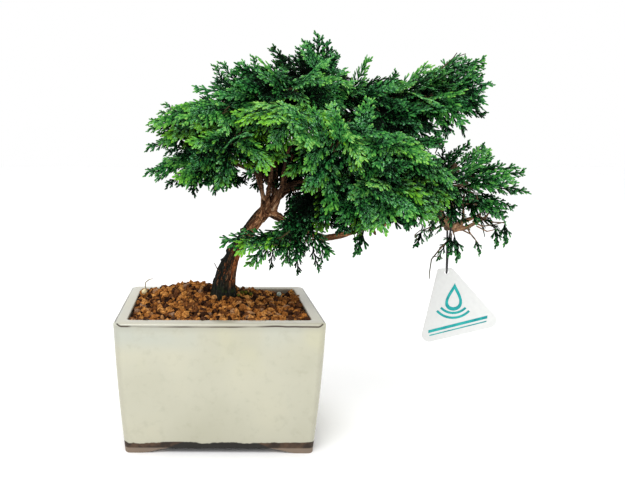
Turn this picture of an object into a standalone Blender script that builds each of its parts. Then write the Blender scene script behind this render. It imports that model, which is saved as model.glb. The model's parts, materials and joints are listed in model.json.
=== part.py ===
"""A hinoki cypress bonsai, grown with two leaders and a long drooping arm, in its glazed pot.

The pot stands on z = 0, +Z is up and -Y is the front. Every place is given from the middle
of the pot's foot in millimetres, and the whole plant is then shifted so that the origin is
the middle of its outline on the ground, because the crown reaches far out to one side.
"""

import itertools
import math
import random
from collections import namedtuple

import bmesh
import bpy
from mathutils import Matrix, Vector, noise
from mathutils.bvhtree import BVHTree

MM = 0.001
FIT_GAP = 0.3 * MM
SEAT_GAP = 0.4 * MM
WELD_DISTANCE = 0.01 * MM

# Where the pot stands from the middle of the plant's outline
POT_PLACE = Vector((-86.7, -7.0, 0.0)) * MM

# Pot
POT_WIDTH = 150.0 * MM
POT_DEPTH = 112.5 * MM
POT_HEIGHT = 101.5 * MM
POT_LEAN = 5.5 * MM
POT_SWELL = 0.8 * MM
POT_WALL = 8.0 * MM
POT_FLOOR = 13.0 * MM
POT_CORNER = 6.0 * MM
POT_INNER_CORNER = 0.7 * POT_CORNER
CORNER_SEGMENTS = 3
POT_WALL_HEIGHTS = (0.0, 18.0, 40.0, 62.0, 84.0)
POT_INSIDE_HEIGHTS = (40.0, 70.0)
RIM_ROUND = 2.4 * MM
LIP_ROUND = 1.2 * MM
LIP_CHAMFER = 0.3 * LIP_ROUND
FOOT_HEIGHT = 6.0 * MM
FOOT_LENGTH = 22.0 * MM
FOOT_OGEE_FRONT = 22.0 * MM
FOOT_OGEE_SIDE = 12.0 * MM
OGEE_STEPS = 5
FOOT_CUT_DROP = 2.0 * MM
CUT_SPARE = 20.0 * MM
DRAIN_RADIUS = 6.0 * MM
DRAIN_PLACE = 32.0 * MM
DRAIN_SIDES = 14

# Drain screens, one over each hole
SCREEN_SIZE = 24.0 * MM
SCREEN_THICK = 1.2 * MM
SCREEN_HOLES = 3
SCREEN_BAR = 1.8 * MM

# Soil
SOIL_EDGE = 99.5 * MM
SOIL_MOUND = 7.5 * MM
SOIL_SPREAD = 46.0 * MM
GRAIN_PITCH = 9.0 * MM
GRAIN_RELIEF = 5.0 * MM
SOIL_COLUMNS = 29
SOIL_ROWS = 21
GRAIN_MIDDLE = 0.7
TRUNK_HOLE_GAP = 0.4 * MM
TRUNK_HOLE_TOP = 125.0

# Trunk and limbs: x, y, z and radius at each bend
LIMBS = {
    "trunk": (
        (5, 5, 80, 8.6), (6, 5, 94, 9.4), (6, 5, 105, 10.2), (6, 5, 112, 8.8), (7, 5, 121, 7.8),
        (10, 4, 134, 7.1), (15, 2, 150, 6.9), (22, 0, 164, 6.9), (29, 0, 173, 6.4), (34, 1, 178, 5.0),
    ),
    "left_stem": (
        (32, 0, 174, 4.2), (34, 1, 184, 3.6), (33, 2, 193, 2.9), (29, 4, 206, 2.5),
        (23, 7, 222, 2.2), (17, 9, 240, 1.9), (12, 10, 256, 1.5),
    ),
    "left_limb": (
        (44, 5, 194, 3.2), (35, 0, 202, 3.0), (21, -5, 209, 2.7), (8, -9, 214, 2.3),
        (-5, -8, 217, 1.9), (-16, -5, 219, 1.5),
    ),
    "leader": (
        (36, 3, 176, 4.4), (43, 4, 187, 3.9), (45, 6, 199, 3.6), (44, 8, 212, 3.2), (43, 10, 223, 3.0),
        (47, 12, 237, 2.7), (54, 14, 252, 2.3), (62, 15, 266, 1.9), (66, 16, 277, 1.5),
    ),
    "front_stem": (
        (39, 0, 177, 3.6), (46, -4, 188, 3.3), (49, -7, 197, 2.9), (49, -9, 207, 2.5),
        (50, -15, 218, 2.2), (53, -24, 228, 1.8), (57, -32, 234, 1.5),
    ),
    "right_branch": (
        (45, -4, 190, 3.2), (53, -4, 195, 3.1), (62, -2, 198, 3.0), (76, 3, 202, 2.9), (93, 7, 207, 2.7),
        (112, 9, 212, 2.6), (129, 10, 218, 2.4), (144, 10, 226, 2.2), (153, 11, 235, 1.9),
        (160, 12, 245, 1.6), (166, 14, 260, 1.4),
    ),
    "cascade": (
        (36, 1, 174, 4.4), (45, -3, 169, 4.0), (55, -7, 164, 3.7), (66, -10, 159, 3.6), (77, -12, 156, 3.5),
        (88, -14, 158, 3.3), (98, -16, 162, 3.2), (108, -18, 166, 3.0), (121, -18, 168, 2.8),
    ),
    "cascade_top": (
        (94, -15, 161, 2.6), (100, -20, 170, 2.2), (108, -27, 178, 1.8), (118, -33, 186, 1.4),
    ),
    "far_branch": (
        (126, 10, 217, 2.5), (138, 12, 215, 2.4), (149, 12, 209, 2.3), (160, 10, 198, 2.3),
        (169, 6, 182, 2.3), (175, 4, 169, 2.4), (182, 3, 159.5, 2.5), (191, 4, 162, 2.2),
        (202, 5, 167, 1.7), (208, 6, 171, 1.3),
    ),
    "far_arm": (
        (185, 3, 160, 1.9), (188.5, 4, 170, 1.7), (190, 6, 180, 1.5), (194, 7, 192, 1.3), (198, 8, 205, 1.0),
    ),
    "back_stem": (
        (43, 9, 216, 2.6), (48, 20, 228, 2.2), (57, 34, 242, 1.9), (65, 46, 254, 1.5),
    ),
    "back_branch": (
        (100, 8, 209, 2.3), (108, 20, 216, 2.1), (117, 34, 227, 1.8), (126, 46, 240, 1.5),
    ),
}
TRUNK_SIDES = 4
LIMB_SIDES = 1
TWIG_SIDES = 0
TRUNK_STEPS = 2
LIMB_STEPS = 1
BARK_RIDGE = 0.9 * MM
BARK_START = 112.5
BARK_RIDGES = 3.0
BARK_STRETCH = 26.0
TWIG_RADIUS = 1.5
TWIG_END_RADIUS = 1.0
TWIG_SUNK = 3.0
TWIG_RISE = 2.5
TWIG_CREST = 0.55
TWIG_DEEPEST = 0.35

# Foliage pads: place and half sizes, the way each one faces, how far round its fans go and their lift
Pad = namedtuple("Pad", "name place size heading spread lift fans limb")
PADS = (
    Pad("left_top", (6, 10, 271), (32, 26, 14), 150, 330, 14, 5, "left_stem"),
    Pad("left_shelf", (-5, -20, 251), (40, 22, 9), 190, 300, 4, 5, "left_stem"),
    Pad("left_outer", (-21, 6, 231), (31, 26, 11), 180, 300, 0, 5, "left_limb"),
    Pad("left_front", (9, -40, 224), (26, 20, 11), 235, 280, 0, 4, "left_limb"),
    Pad("left_low", (-20, 2, 205), (32, 24, 9), 185, 300, 0, 5, "left_limb"),
    Pad("left_drop", (8, -24, 201), (22, 18, 9), 240, 260, 0, 4, "left_limb"),
    Pad("apex", (69, 16, 291), (29, 26, 16), 90, 340, 34, 5, "leader"),
    Pad("crown_mid", (56, -12, 265), (36, 22, 12), 265, 300, 4, 5, "leader"),
    Pad("crown_front", (43, -44, 243), (28, 18, 10), 260, 270, 0, 4, "front_stem"),
    Pad("front_fan", (79, -56, 226), (22, 16, 18), 270, 240, -12, 5, "front_stem"),
    Pad("crown_right", (103, 2, 267), (26, 24, 11), 300, 320, 8, 4, "leader"),
    Pad("right_top", (141, 18, 270), (25, 26, 11), 80, 330, 20, 4, "right_branch"),
    Pad("right_tip", (182, 18, 275), (30, 28, 16), 0, 320, 16, 5, "right_branch"),
    Pad("right_under", (175, 0, 250), (30, 26, 11), 340, 300, 0, 5, "right_branch"),
    Pad("right_mid", (123, -14, 245), (30, 22, 11), 270, 300, 0, 5, "right_branch"),
    Pad("front_high", (112, -46, 222), (30, 20, 11), 275, 280, 0, 4, "right_branch"),
    Pad("front_side", (141, -32, 204), (27, 20, 10), 320, 280, 0, 5, "right_branch"),
    Pad("front_low", (120, -50, 188), (33, 18, 10), 285, 270, -6, 5, "cascade_top"),
    Pad("inner_front", (76, -36, 190), (20, 16, 12), 265, 260, -6, 4, "cascade"),
    Pad("cascade_drop", (62, -28, 147), (30, 16, 11), 265, 300, -10, 5, "cascade"),
    Pad("trunk_spray", (28, -30, 157), (26, 14, 6), 190, 220, 4, 4, "cascade"),
    Pad("cascade_tip", (114, -30, 156), (20, 14, 9), 300, 280, 0, 4, "cascade"),
    Pad("far_top", (200, 8, 219), (26, 22, 9), 30, 320, 16, 4, "far_arm"),
    Pad("far_side", (212, 8, 197), (29, 22, 10), 0, 280, 6, 5, "far_arm"),
    Pad("far_inner", (173, -16, 191), (17, 16, 12), 260, 280, 0, 4, "far_branch"),
    Pad("far_low", (212, 6, 177), (22, 20, 8), 350, 280, 0, 4, "far_branch"),
    Pad("back_left", (16, 50, 249), (34, 22, 14), 120, 320, 0, 4, "back_stem"),
    Pad("back_crown", (72, 58, 266), (38, 24, 15), 90, 320, 12, 5, "back_stem"),
    Pad("back_right", (133, 55, 252), (36, 22, 15), 60, 320, 0, 5, "back_branch"),
    Pad("back_low", (146, 42, 212), (30, 20, 13), 40, 300, 0, 4, "back_branch"),
)
HUB_SHARES = (0.52, 0.52, 0.70)
HUB_FREE_SHARE = 0.8
FAN_THICK = 0.8 * MM
FAN_ROOM_THICK = 1.8 * MM
FAN_LEAFLETS = 3
FAN_REACH = 1.14
FAN_SPREAD = 0.44
FAN_STALK = 1.1 * MM
LEAFLET_ANGLE_FIRST = 48.0
LEAFLET_ANGLE_LAST = 32.0
LEAFLET_FIRST = 0.28
LEAFLET_LAST = 0.78
LEAFLET_TAPER = 0.16
FAN_DROOP = 0.34
FAN_CUP = 0.16
FAN_TILTS = (10.0, -32.0)
FAN_ROLL = 22.0
FAN_TURN_DRAW = 6.0
FAN_TILT_DRAW = 5.0
FAN_CLEARANCE = 1.03
FAN_SHIFTS = (0.0, 14.0, -14.0, 26.0, -26.0)
FAN_LENGTHS = (1.0, 0.85, 0.7, 0.56)
FAN_LIFTS = (0.0, 14.0, -14.0)
SHORTEST_FAN = 13.0 * MM

# Plastic label and its wire tie
LABEL_HOLE = Vector((183.0, 5.0, 125.5)) * MM
LABEL_HOLE_RADIUS = 1.8 * MM
LABEL_THICK = 0.8 * MM
LABEL_CORNERS = ((-6.5, 3.6, 3.0), (-16.5, -57.5, 6.0), (41.5, -38.0, 6.0), (6.5, 3.0, 3.0))
LABEL_ARC_STEPS = 5
LABEL_HOLE_SIDES = 12
TIE_RADIUS = 0.5 * MM
TIE_TOP = Vector((182.0, 3.2, 165.4)) * MM
TIE_HALF_TOP = 5.0 * MM
TIE_HALF_BOTTOM = 1.5 * MM
TIE_SQUARENESS = 0.6
TIE_SAG = 0.6 * MM
TIE_POINTS = 18

# Angles past which a face's edge stays sharp
POT_SHARP = 35
WOOD_SHARP = 50

SEED = 11


def clear_scene():
    for old in list(bpy.data.objects):
        bpy.data.objects.remove(old, do_unlink=True)


def new_collection(name):
    collection = bpy.data.collections.new(name)
    bpy.context.scene.collection.children.link(collection)
    return collection


def make_material(name, colour, roughness, metallic=0.0):
    material = bpy.data.materials.new(name)
    material.use_nodes = True
    shader = material.node_tree.nodes["Principled BSDF"]
    shader.inputs["Base Color"].default_value = (*colour, 1.0)
    shader.inputs["Roughness"].default_value = roughness
    shader.inputs["Metallic"].default_value = metallic
    material.diffuse_color = (*colour, 1.0)
    return material


def place_part(name, mesh, collection, stand, material=None, smooth_angle=None):
    """One finished piece, standing on the plant's own empty."""
    part = bpy.data.objects.new(name, mesh)
    collection.objects.link(part)
    part.parent = stand
    if material:
        mesh.materials.clear()
        mesh.materials.append(material)
    if smooth_angle:
        mesh.shade_smooth()
        mesh.set_sharp_from_angle(angle=math.radians(smooth_angle))
    return part


def make_cutter(name, mesh, cutters, stand):
    cutter = place_part(name, mesh, cutters, stand)
    cutter.hide_render = True
    cutter.display_type = "WIRE"
    return cutter


def cut_with(part, cutter):
    cut = part.modifiers.new("Cut " + cutter.name, "BOOLEAN")
    cut.operation = "DIFFERENCE"
    cut.object = cutter


def mesh_from(name, bm):
    if bm.calc_volume(signed=True) < 0.0:
        bmesh.ops.reverse_faces(bm, faces=bm.faces)
    mesh = bpy.data.meshes.new(name)
    bm.to_mesh(mesh)
    bm.free()
    return mesh


def weld(mesh):
    bm = bmesh.new()
    bm.from_mesh(mesh)
    bmesh.ops.remove_doubles(bm, verts=bm.verts, dist=WELD_DISTANCE)
    if bm.calc_volume(signed=True) < 0.0:
        bmesh.ops.reverse_faces(bm, faces=bm.faces)
    bm.to_mesh(mesh)
    bm.free()


def mesh_of_curve(name, curve):
    """The welded mesh of a curve, which is then removed."""
    holder = bpy.data.objects.new(name, curve)
    bpy.context.scene.collection.objects.link(holder)
    evaluated = holder.evaluated_get(bpy.context.evaluated_depsgraph_get())
    mesh = bpy.data.meshes.new_from_object(evaluated)
    bpy.data.objects.remove(holder)
    bpy.data.curves.remove(curve)
    weld(mesh)
    return mesh


def plate_mesh(name, outlines, thickness):
    """A flat plate in the XY plane, cut to its outlines."""
    curve = bpy.data.curves.new(name, "CURVE")
    curve.dimensions = "2D"
    curve.fill_mode = "BOTH"
    curve.extrude = thickness / 2
    for outline in outlines:
        spline = curve.splines.new("POLY")
        spline.points.add(len(outline) - 1)
        for point, (x, y) in zip(spline.points, outline):
            point.co = (x, y, 0.0, 1.0)
        spline.use_cyclic_u = True
    return mesh_of_curve(name, curve)


def tube_mesh(name, stations, resolution, closed=False):
    """A round tube through (place, radius) stations, capped unless it is a closed ring."""
    curve = bpy.data.curves.new(name, "CURVE")
    curve.dimensions = "3D"
    curve.fill_mode = "FULL"
    curve.use_fill_caps = not closed
    curve.bevel_depth = MM
    curve.bevel_resolution = resolution
    spline = curve.splines.new("POLY")
    spline.points.add(len(stations) - 1)
    for point, (place, radius) in zip(spline.points, stations):
        point.co = (*place, 1.0)
        point.radius = radius / MM
    spline.use_cyclic_u = closed
    return mesh_of_curve(name, curve)


def applied(part, name):
    """The mesh of a part with its modifiers applied."""
    evaluated = part.evaluated_get(bpy.context.evaluated_depsgraph_get())
    mesh = bpy.data.meshes.new_from_object(evaluated)
    mesh.name = name
    return mesh


def loose_object(name, mesh, collection):
    part = bpy.data.objects.new(name, mesh)
    collection.objects.link(part)
    return part


def boolean_mesh(name, base_mesh, other_meshes, operation, solver="MANIFOLD"):
    """The base mesh joined with, or cut by, the other meshes."""
    scene_root = bpy.context.scene.collection
    group = new_collection(name + "_pieces")
    base = loose_object(name, base_mesh, scene_root)
    for index, mesh in enumerate(other_meshes):
        loose_object(f"{name}_piece_{index}", mesh, group)
    step = base.modifiers.new("Join", "BOOLEAN")
    step.operation = operation
    step.operand_type = "COLLECTION"
    step.collection = group
    step.solver = solver
    mesh = applied(base, name)
    for piece in list(group.objects):
        bpy.data.objects.remove(piece)
    bpy.data.collections.remove(group)
    bpy.data.objects.remove(base)
    return mesh


def keep_largest_body(mesh):
    """Drops what a cut left loose."""
    bm = bmesh.new()
    bm.from_mesh(mesh)
    unseen = set(bm.verts)
    bodies = []
    while unseen:
        body = set()
        front = [unseen.pop()]
        while front:
            vert = front.pop()
            body.add(vert)
            for edge in vert.link_edges:
                other = edge.other_vert(vert)
                if other in unseen:
                    unseen.remove(other)
                    front.append(other)
        bodies.append(body)
    bodies.sort(key=len, reverse=True)
    loose = [vert for body in bodies[1:] for vert in body]
    bmesh.ops.delete(bm, geom=loose, context="VERTS")
    bm.to_mesh(mesh)
    bm.free()
    return mesh


def block_mesh(name, levels, corner):
    """An upright block of the pot's plan with round corners, drawn in at each (height, inset) level."""
    bm = bmesh.new()
    bmesh.ops.create_cube(bm, size=1.0)
    bmesh.ops.scale(bm, verts=bm.verts, vec=(POT_WIDTH, POT_DEPTH, 1.0))
    for vert in bm.verts:
        vert.co.z = levels[-1][0] if vert.co.z > 0 else levels[0][0]
    uprights = [e for e in bm.edges if abs((e.verts[0].co - e.verts[1].co).z) > WELD_DISTANCE]
    bmesh.ops.bevel(bm, geom=uprights, offset=corner, segments=CORNER_SEGMENTS, profile=0.5, affect="EDGES")
    for height, _ in levels[1:-1]:
        everything = bm.verts[:] + bm.edges[:] + bm.faces[:]
        bmesh.ops.bisect_plane(bm, geom=everything, plane_co=(0, 0, height), plane_no=(0, 0, 1))
    for vert in bm.verts:
        _, inset = min(levels, key=lambda level: abs(level[0] - vert.co.z))
        vert.co.x -= math.copysign(inset, vert.co.x)
        vert.co.y -= math.copysign(inset, vert.co.y)
    bmesh.ops.recalc_face_normals(bm, faces=bm.faces)
    return mesh_from(name, bm)


def wall_level(height, inset):
    """A height, and how far in from the rim the outer wall is there, plus an inset."""
    share = height / POT_HEIGHT
    return height, POT_LEAN * (1 - share) - POT_SWELL * math.sin(math.pi * share) + inset


def arch_outline(half_gap, ogee):
    """The space between two feet: an ogee at each end, and open below."""
    rise = []
    for step in range(OGEE_STEPS + 1):
        share = step / OGEE_STEPS
        rise.append((half_gap - ogee * share, FOOT_HEIGHT * (1 - math.cos(math.pi * share)) / 2))
    right = [(half_gap, -FOOT_CUT_DROP)] + rise
    return right + [(-x, z) for x, z in reversed(right)]


def make_pot(parts, cutters, stand):
    levels = [wall_level(height * MM, 0.0) for height in POT_WALL_HEIGHTS]
    for degrees in (0, 30, 60, 90):
        angle = math.radians(degrees)
        height = POT_HEIGHT - RIM_ROUND * (1 - math.sin(angle))
        levels.append(wall_level(height, RIM_ROUND * (1 - math.cos(angle))))
    glaze = make_material("pale celadon glaze", (0.64, 0.62, 0.50), 0.16)
    pot = place_part("pot", block_mesh("pot", levels, POT_CORNER), parts, stand, glaze, POT_SHARP)
    cut_with(pot, make_cutter("pot_inside", pot_inside_mesh(), cutters, stand))

    half_gap = POT_WIDTH / 2 - POT_LEAN - FOOT_LENGTH
    front = plate_mesh("arch_front", [arch_outline(half_gap, FOOT_OGEE_FRONT)], POT_DEPTH + CUT_SPARE)
    front.transform(Matrix.Rotation(math.radians(90), 4, "X"))
    cut_with(pot, make_cutter("arch_front", front, cutters, stand))
    half_gap = POT_DEPTH / 2 - POT_LEAN - FOOT_LENGTH
    side = plate_mesh("arch_side", [arch_outline(half_gap, FOOT_OGEE_SIDE)], POT_WIDTH + CUT_SPARE)
    side.transform(Matrix.Rotation(math.radians(90), 4, "Z") @ Matrix.Rotation(math.radians(90), 4, "X"))
    cut_with(pot, make_cutter("arch_side", side, cutters, stand))

    for side_name, sign in (("left", -1), ("right", 1)):
        cut_with(pot, make_cutter("drain_" + side_name, drain_mesh(sign * DRAIN_PLACE), cutters, stand))


def pot_inside_mesh():
    """The pot's hollow, with a small round along the inner edge of the rim."""
    levels = [wall_level(height, POT_WALL) for height in (POT_FLOOR, *(h * MM for h in POT_INSIDE_HEIGHTS))]
    levels.append(wall_level(POT_HEIGHT - LIP_ROUND, POT_WALL))
    levels.append(wall_level(POT_HEIGHT - LIP_CHAMFER, POT_WALL - LIP_CHAMFER))
    levels.append(wall_level(POT_HEIGHT + LIP_ROUND, POT_WALL - 2.0 * LIP_ROUND))
    return block_mesh("pot_inside", levels, POT_INNER_CORNER)


def drain_mesh(x):
    bm = bmesh.new()
    depth = POT_FLOOR + 2 * FOOT_CUT_DROP
    bmesh.ops.create_cone(bm, cap_ends=True, segments=DRAIN_SIDES, radius1=DRAIN_RADIUS,
                          radius2=DRAIN_RADIUS, depth=depth)
    bmesh.ops.translate(bm, verts=bm.verts, vec=(x, 0.0, depth / 2))
    return mesh_from("drain", bm)


def box_mesh(name, centre, size):
    bm = bmesh.new()
    bmesh.ops.create_cube(bm, size=1.0)
    bmesh.ops.scale(bm, verts=bm.verts, vec=size)
    bmesh.ops.translate(bm, verts=bm.verts, vec=centre)
    return mesh_from(name, bm)


def square_outline(x, y, size):
    half = size / 2
    return [(x - half, y - half), (x + half, y - half), (x + half, y + half), (x - half, y + half)]


def make_screens(parts, stand):
    """A square plastic grid over each drain hole."""
    plastic = make_material("black screen plastic", (0.03, 0.03, 0.03), 0.5)
    pitch = (SCREEN_SIZE - SCREEN_BAR) / SCREEN_HOLES
    shifts = [(index - (SCREEN_HOLES - 1) / 2) * pitch for index in range(SCREEN_HOLES)]
    outlines = [square_outline(0.0, 0.0, SCREEN_SIZE)]
    outlines += [square_outline(x, y, pitch - SCREEN_BAR) for x in shifts for y in shifts]
    for side_name, sign in (("left", -1), ("right", 1)):
        grid = plate_mesh("drain_screen_" + side_name, outlines, SCREEN_THICK)
        height = POT_FLOOR + FIT_GAP + SCREEN_THICK / 2
        grid.transform(Matrix.Translation((sign * DRAIN_PLACE, 0.0, height)))
        place_part("drain_screen_" + side_name, grid, parts, stand, plastic)


def soil_height(x, y):
    """The soil's surface: a low mound round the trunk, all over grains."""
    trunk_x, trunk_y = LIMBS["trunk"][2][0] * MM, LIMBS["trunk"][2][1] * MM
    away = math.hypot(x - trunk_x, y - trunk_y) / SOIL_SPREAD
    nearest, _ = noise.voronoi(Vector((x, y, 0.0)) / GRAIN_PITCH)
    grain = max(0.0, 1.0 - nearest[0] ** 2)
    return SOIL_EDGE + SOIL_MOUND * math.exp(-away * away) + GRAIN_RELIEF * (grain - GRAIN_MIDDLE)


def soil_surface_mesh():
    """A block under the grainy surface, wider than the pot's hollow."""
    bm = bmesh.new()
    bmesh.ops.create_grid(bm, x_segments=SOIL_COLUMNS, y_segments=SOIL_ROWS, size=0.5)
    for vert in bm.verts:
        vert.co.x *= POT_WIDTH - POT_WALL
        vert.co.y *= POT_DEPTH - POT_WALL
        vert.co.z = soil_height(vert.co.x, vert.co.y)
    bmesh.ops.triangulate(bm, faces=bm.faces)
    lower = bmesh.ops.extrude_face_region(bm, geom=bm.faces[:])
    for item in lower["geom"]:
        if isinstance(item, bmesh.types.BMVert):
            item.co.z = 0.0
    bmesh.ops.recalc_face_normals(bm, faces=bm.faces)
    return mesh_from("soil_surface", bm)


def make_soil(parts, cutters, stand, trunk_hole):
    inset = POT_WALL + FIT_GAP
    heights = (POT_FLOOR + FIT_GAP, *(height * MM for height in POT_INSIDE_HEIGHTS), POT_HEIGHT)
    levels = [wall_level(height, inset) for height in heights]
    levels.append((POT_HEIGHT + CUT_SPARE, levels[-1][1]))
    filling = block_mesh("soil_filling", levels, POT_INNER_CORNER)
    soil_mesh = boolean_mesh("soil", filling, [soil_surface_mesh()], "INTERSECT")
    grains = make_material("fired clay grains", (0.15, 0.06, 0.02), 0.95)
    soil = place_part("soil", soil_mesh, parts, stand, grains)
    cut_with(soil, make_cutter("trunk_hole", trunk_hole, cutters, stand))
    room_size = (SCREEN_SIZE + 2 * FIT_GAP, SCREEN_SIZE + 2 * FIT_GAP, 2 * (SCREEN_THICK + 2 * FIT_GAP))
    for side_name, sign in (("left", -1), ("right", 1)):
        room = box_mesh("screen_room", (sign * DRAIN_PLACE, 0.0, POT_FLOOR), room_size)
        cut_with(soil, make_cutter("screen_room_" + side_name, room, cutters, stand))


def smooth_stations(bends, steps, grow):
    """(place, radius) stations on a smooth curve through the bends, grown all round and at its tip."""
    knots = [Vector(bend) for bend in bends]
    knots = [2 * knots[0] - knots[1]] + knots + [2 * knots[-1] - knots[-2]]
    stations = []
    for i in range(1, len(knots) - 2):
        before, start, end, after = knots[i - 1:i + 3]
        for step in range(steps):
            t = step / steps
            bend = 0.5 * (2 * start + (end - before) * t + (2 * before - 5 * start + 4 * end - after) * t ** 2
                          + (3 * start - before - 3 * end + after) * t ** 3)
            stations.append((bend.xyz * MM, bend.w * MM + grow))
    tip = knots[-2].xyz * MM
    stations.append((tip + (tip - stations[-1][0]).normalized() * grow, knots[-2].w * MM + grow))
    return stations


def ridge_bark(mesh):
    """Raises long bark ridges on the trunk above the soil."""
    bends = LIMBS["trunk"]
    for vert in mesh.vertices:
        height = vert.co.z / MM
        if height <= BARK_START:
            continue
        pairs = [pair for pair in zip(bends, bends[1:]) if height <= pair[1][2]] or [bends[-2:]]
        lower, upper = pairs[0]
        share = (height - lower[2]) / (upper[2] - lower[2])
        centre = Vector(lower[:2]).lerp(Vector(upper[:2]), share) * MM
        out = Vector((vert.co.x - centre.x, vert.co.y - centre.y, 0.0)).normalized()
        bark = noise.noise(Vector((out.x * BARK_RIDGES, out.y * BARK_RIDGES, height / BARK_STRETCH)))
        vert.co += out * BARK_RIDGE * bark


def hub_radii(pad):
    return Vector([size * share * MM for size, share in zip(pad.size, HUB_SHARES)])


def twig_bends(pad):
    """A twig from the nearest place on the pad's limb into the side of its hub."""
    hub = Vector(pad.place)
    stations = smooth_stations(LIMBS[pad.limb], LIMB_STEPS, 0.0)
    start, limb_radius = min(stations, key=lambda station: (station[0] / MM - hub).length)
    start = start / MM
    toward = (start - hub).normalized()
    radii = hub_radii(pad) / MM
    to_surface = 1 / math.sqrt(sum((toward[i] / radii[i]) ** 2 for i in range(3)))
    end = hub + toward * max(to_surface - TWIG_SUNK, TWIG_DEEPEST * to_surface)
    thick = min(TWIG_RADIUS, limb_radius / MM)
    middle = start.lerp(end, TWIG_CREST) + Vector((0.0, 0.0, TWIG_RISE))
    return ((*start, thick), (*middle, (thick + TWIG_END_RADIUS) / 2), (*end, TWIG_END_RADIUS))


def wood_mesh(name, grow):
    """The trunk, its limbs and the twig to each pad, in one piece."""
    trunk = tube_mesh("trunk", smooth_stations(LIMBS["trunk"], TRUNK_STEPS, grow), TRUNK_SIDES)
    ridge_bark(trunk)
    others = [tube_mesh(limb, smooth_stations(bends, LIMB_STEPS, grow), LIMB_SIDES)
              for limb, bends in LIMBS.items() if limb != "trunk"]
    others += [tube_mesh("twig", smooth_stations(twig_bends(pad), LIMB_STEPS, grow), TWIG_SIDES)
               for pad in PADS]
    return keep_largest_body(boolean_mesh(name, trunk, others, "UNION"))


def fan_outline(length, half_width):
    """A spray's outline: leaflets set by turns along both sides of the rib, one at its tip."""
    first = LEAFLET_FIRST * length
    step = (LEAFLET_LAST * length - first) / FAN_LEAFLETS
    reach = half_width / math.sin(math.radians(LEAFLET_ANGLE_FIRST))
    sides = {}
    for side in (-1, 1):
        start = first + (0.5 * step if side > 0 else 0.0)
        points = [(0.0, side * FAN_STALK)]
        for index in range(FAN_LEAFLETS):
            share = index / (FAN_LEAFLETS - 1)
            angle = math.radians(LEAFLET_ANGLE_FIRST + (LEAFLET_ANGLE_LAST - LEAFLET_ANGLE_FIRST) * share)
            root = start + index * step
            leaflet = reach * (1.0 - LEAFLET_TAPER * index)
            points.append((root, side * FAN_STALK))
            points.append((root + leaflet * math.cos(angle), side * (FAN_STALK + leaflet * math.sin(angle))))
        points.append((start + FAN_LEAFLETS * step, side * FAN_STALK))
        sides[side] = points
    return sides[-1] + [(length, 0.0)] + sides[1][::-1]


def flat_fan(length, half_width, thickness):
    """The spray as one thin flat blade, split into triangles alike on both faces."""
    bm = bmesh.new()
    corners = [bm.verts.new((x, y, -thickness / 2)) for x, y in fan_outline(length, half_width)]
    bm.faces.new(corners)
    bm.normal_update()
    bmesh.ops.triangulate(bm, faces=bm.faces[:], quad_method="BEAUTY", ngon_method="BEAUTY")
    upper = bmesh.ops.extrude_face_region(bm, geom=bm.faces[:])
    moved = [item for item in upper["geom"] if isinstance(item, bmesh.types.BMVert)]
    bmesh.ops.translate(bm, verts=moved, vec=(0.0, 0.0, thickness))
    bmesh.ops.triangulate(bm, faces=bm.faces[:])
    bmesh.ops.recalc_face_normals(bm, faces=bm.faces)
    return bm


def fan_mesh(name, length, thickness, turn, tilt, roll, root):
    """A spray arched down along its rib and to both sides, set on its pad."""
    half_width = FAN_SPREAD * length
    bm = flat_fan(length, half_width, thickness)
    for vert in bm.verts:
        along, across = vert.co.x / length, vert.co.y / half_width
        vert.co.z -= FAN_DROOP * length * along ** 2 + FAN_CUP * half_width * across ** 2
    place = (Matrix.Translation(root) @ Matrix.Rotation(math.radians(turn), 4, "Z")
             @ Matrix.Rotation(-math.radians(tilt), 4, "Y") @ Matrix.Rotation(math.radians(roll), 4, "X"))
    bmesh.ops.transform(bm, matrix=place, verts=bm.verts)
    return mesh_from(name, bm)


def hub_mesh(pad):
    bm = bmesh.new()
    bmesh.ops.create_icosphere(bm, subdivisions=1, radius=1.0)
    bmesh.ops.scale(bm, verts=bm.verts, vec=hub_radii(pad))
    bmesh.ops.translate(bm, verts=bm.verts, vec=Vector(pad.place) * MM)
    return mesh_from(pad.name + "_hub", bm)


def tree_of(mesh):
    """The mesh's search tree and the middle of each of its triangles."""
    corners = [vert.co.copy() for vert in mesh.vertices]
    mesh.calc_loop_triangles()
    faces = [tuple(triangle.vertices) for triangle in mesh.loop_triangles]
    middles = [sum((corners[i] for i in face), Vector()) / 3 for face in faces]
    return BVHTree.FromPolygons(corners, faces), middles


def fan_is_clear(pad, trial, wood_tree, other_trees):
    """Whether a spray misses every other pad, and the wood outside its own hub."""
    trial_tree, middles = tree_of(trial)
    if any(trial_tree.overlap(tree) for tree in other_trees):
        return False
    hub, radii = Vector(pad.place) * MM, hub_radii(pad)
    for face, _ in trial_tree.overlap(wood_tree):
        off = middles[face] - hub
        if sum((off[i] / radii[i]) ** 2 for i in range(3)) > HUB_FREE_SHARE:
            return False
    return True


def place_fans(pad, wood_tree, other_trees, rng):
    """The pad's sprays, each turned, lifted or shortened until it hangs clear."""
    fans = []
    for index in range(pad.fans):
        share = (index + 0.5) / pad.fans - 0.5
        turn = pad.heading + pad.spread * share + rng.uniform(-FAN_TURN_DRAW, FAN_TURN_DRAW)
        tilt = pad.lift + FAN_TILTS[index % 2] + rng.uniform(-FAN_TILT_DRAW, FAN_TILT_DRAW)
        roll = rng.uniform(-FAN_ROLL, FAN_ROLL)
        fan = clear_fan(pad, turn, tilt, roll, wood_tree, other_trees)
        if fan:
            fans.append(fan)
    return fans


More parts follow.
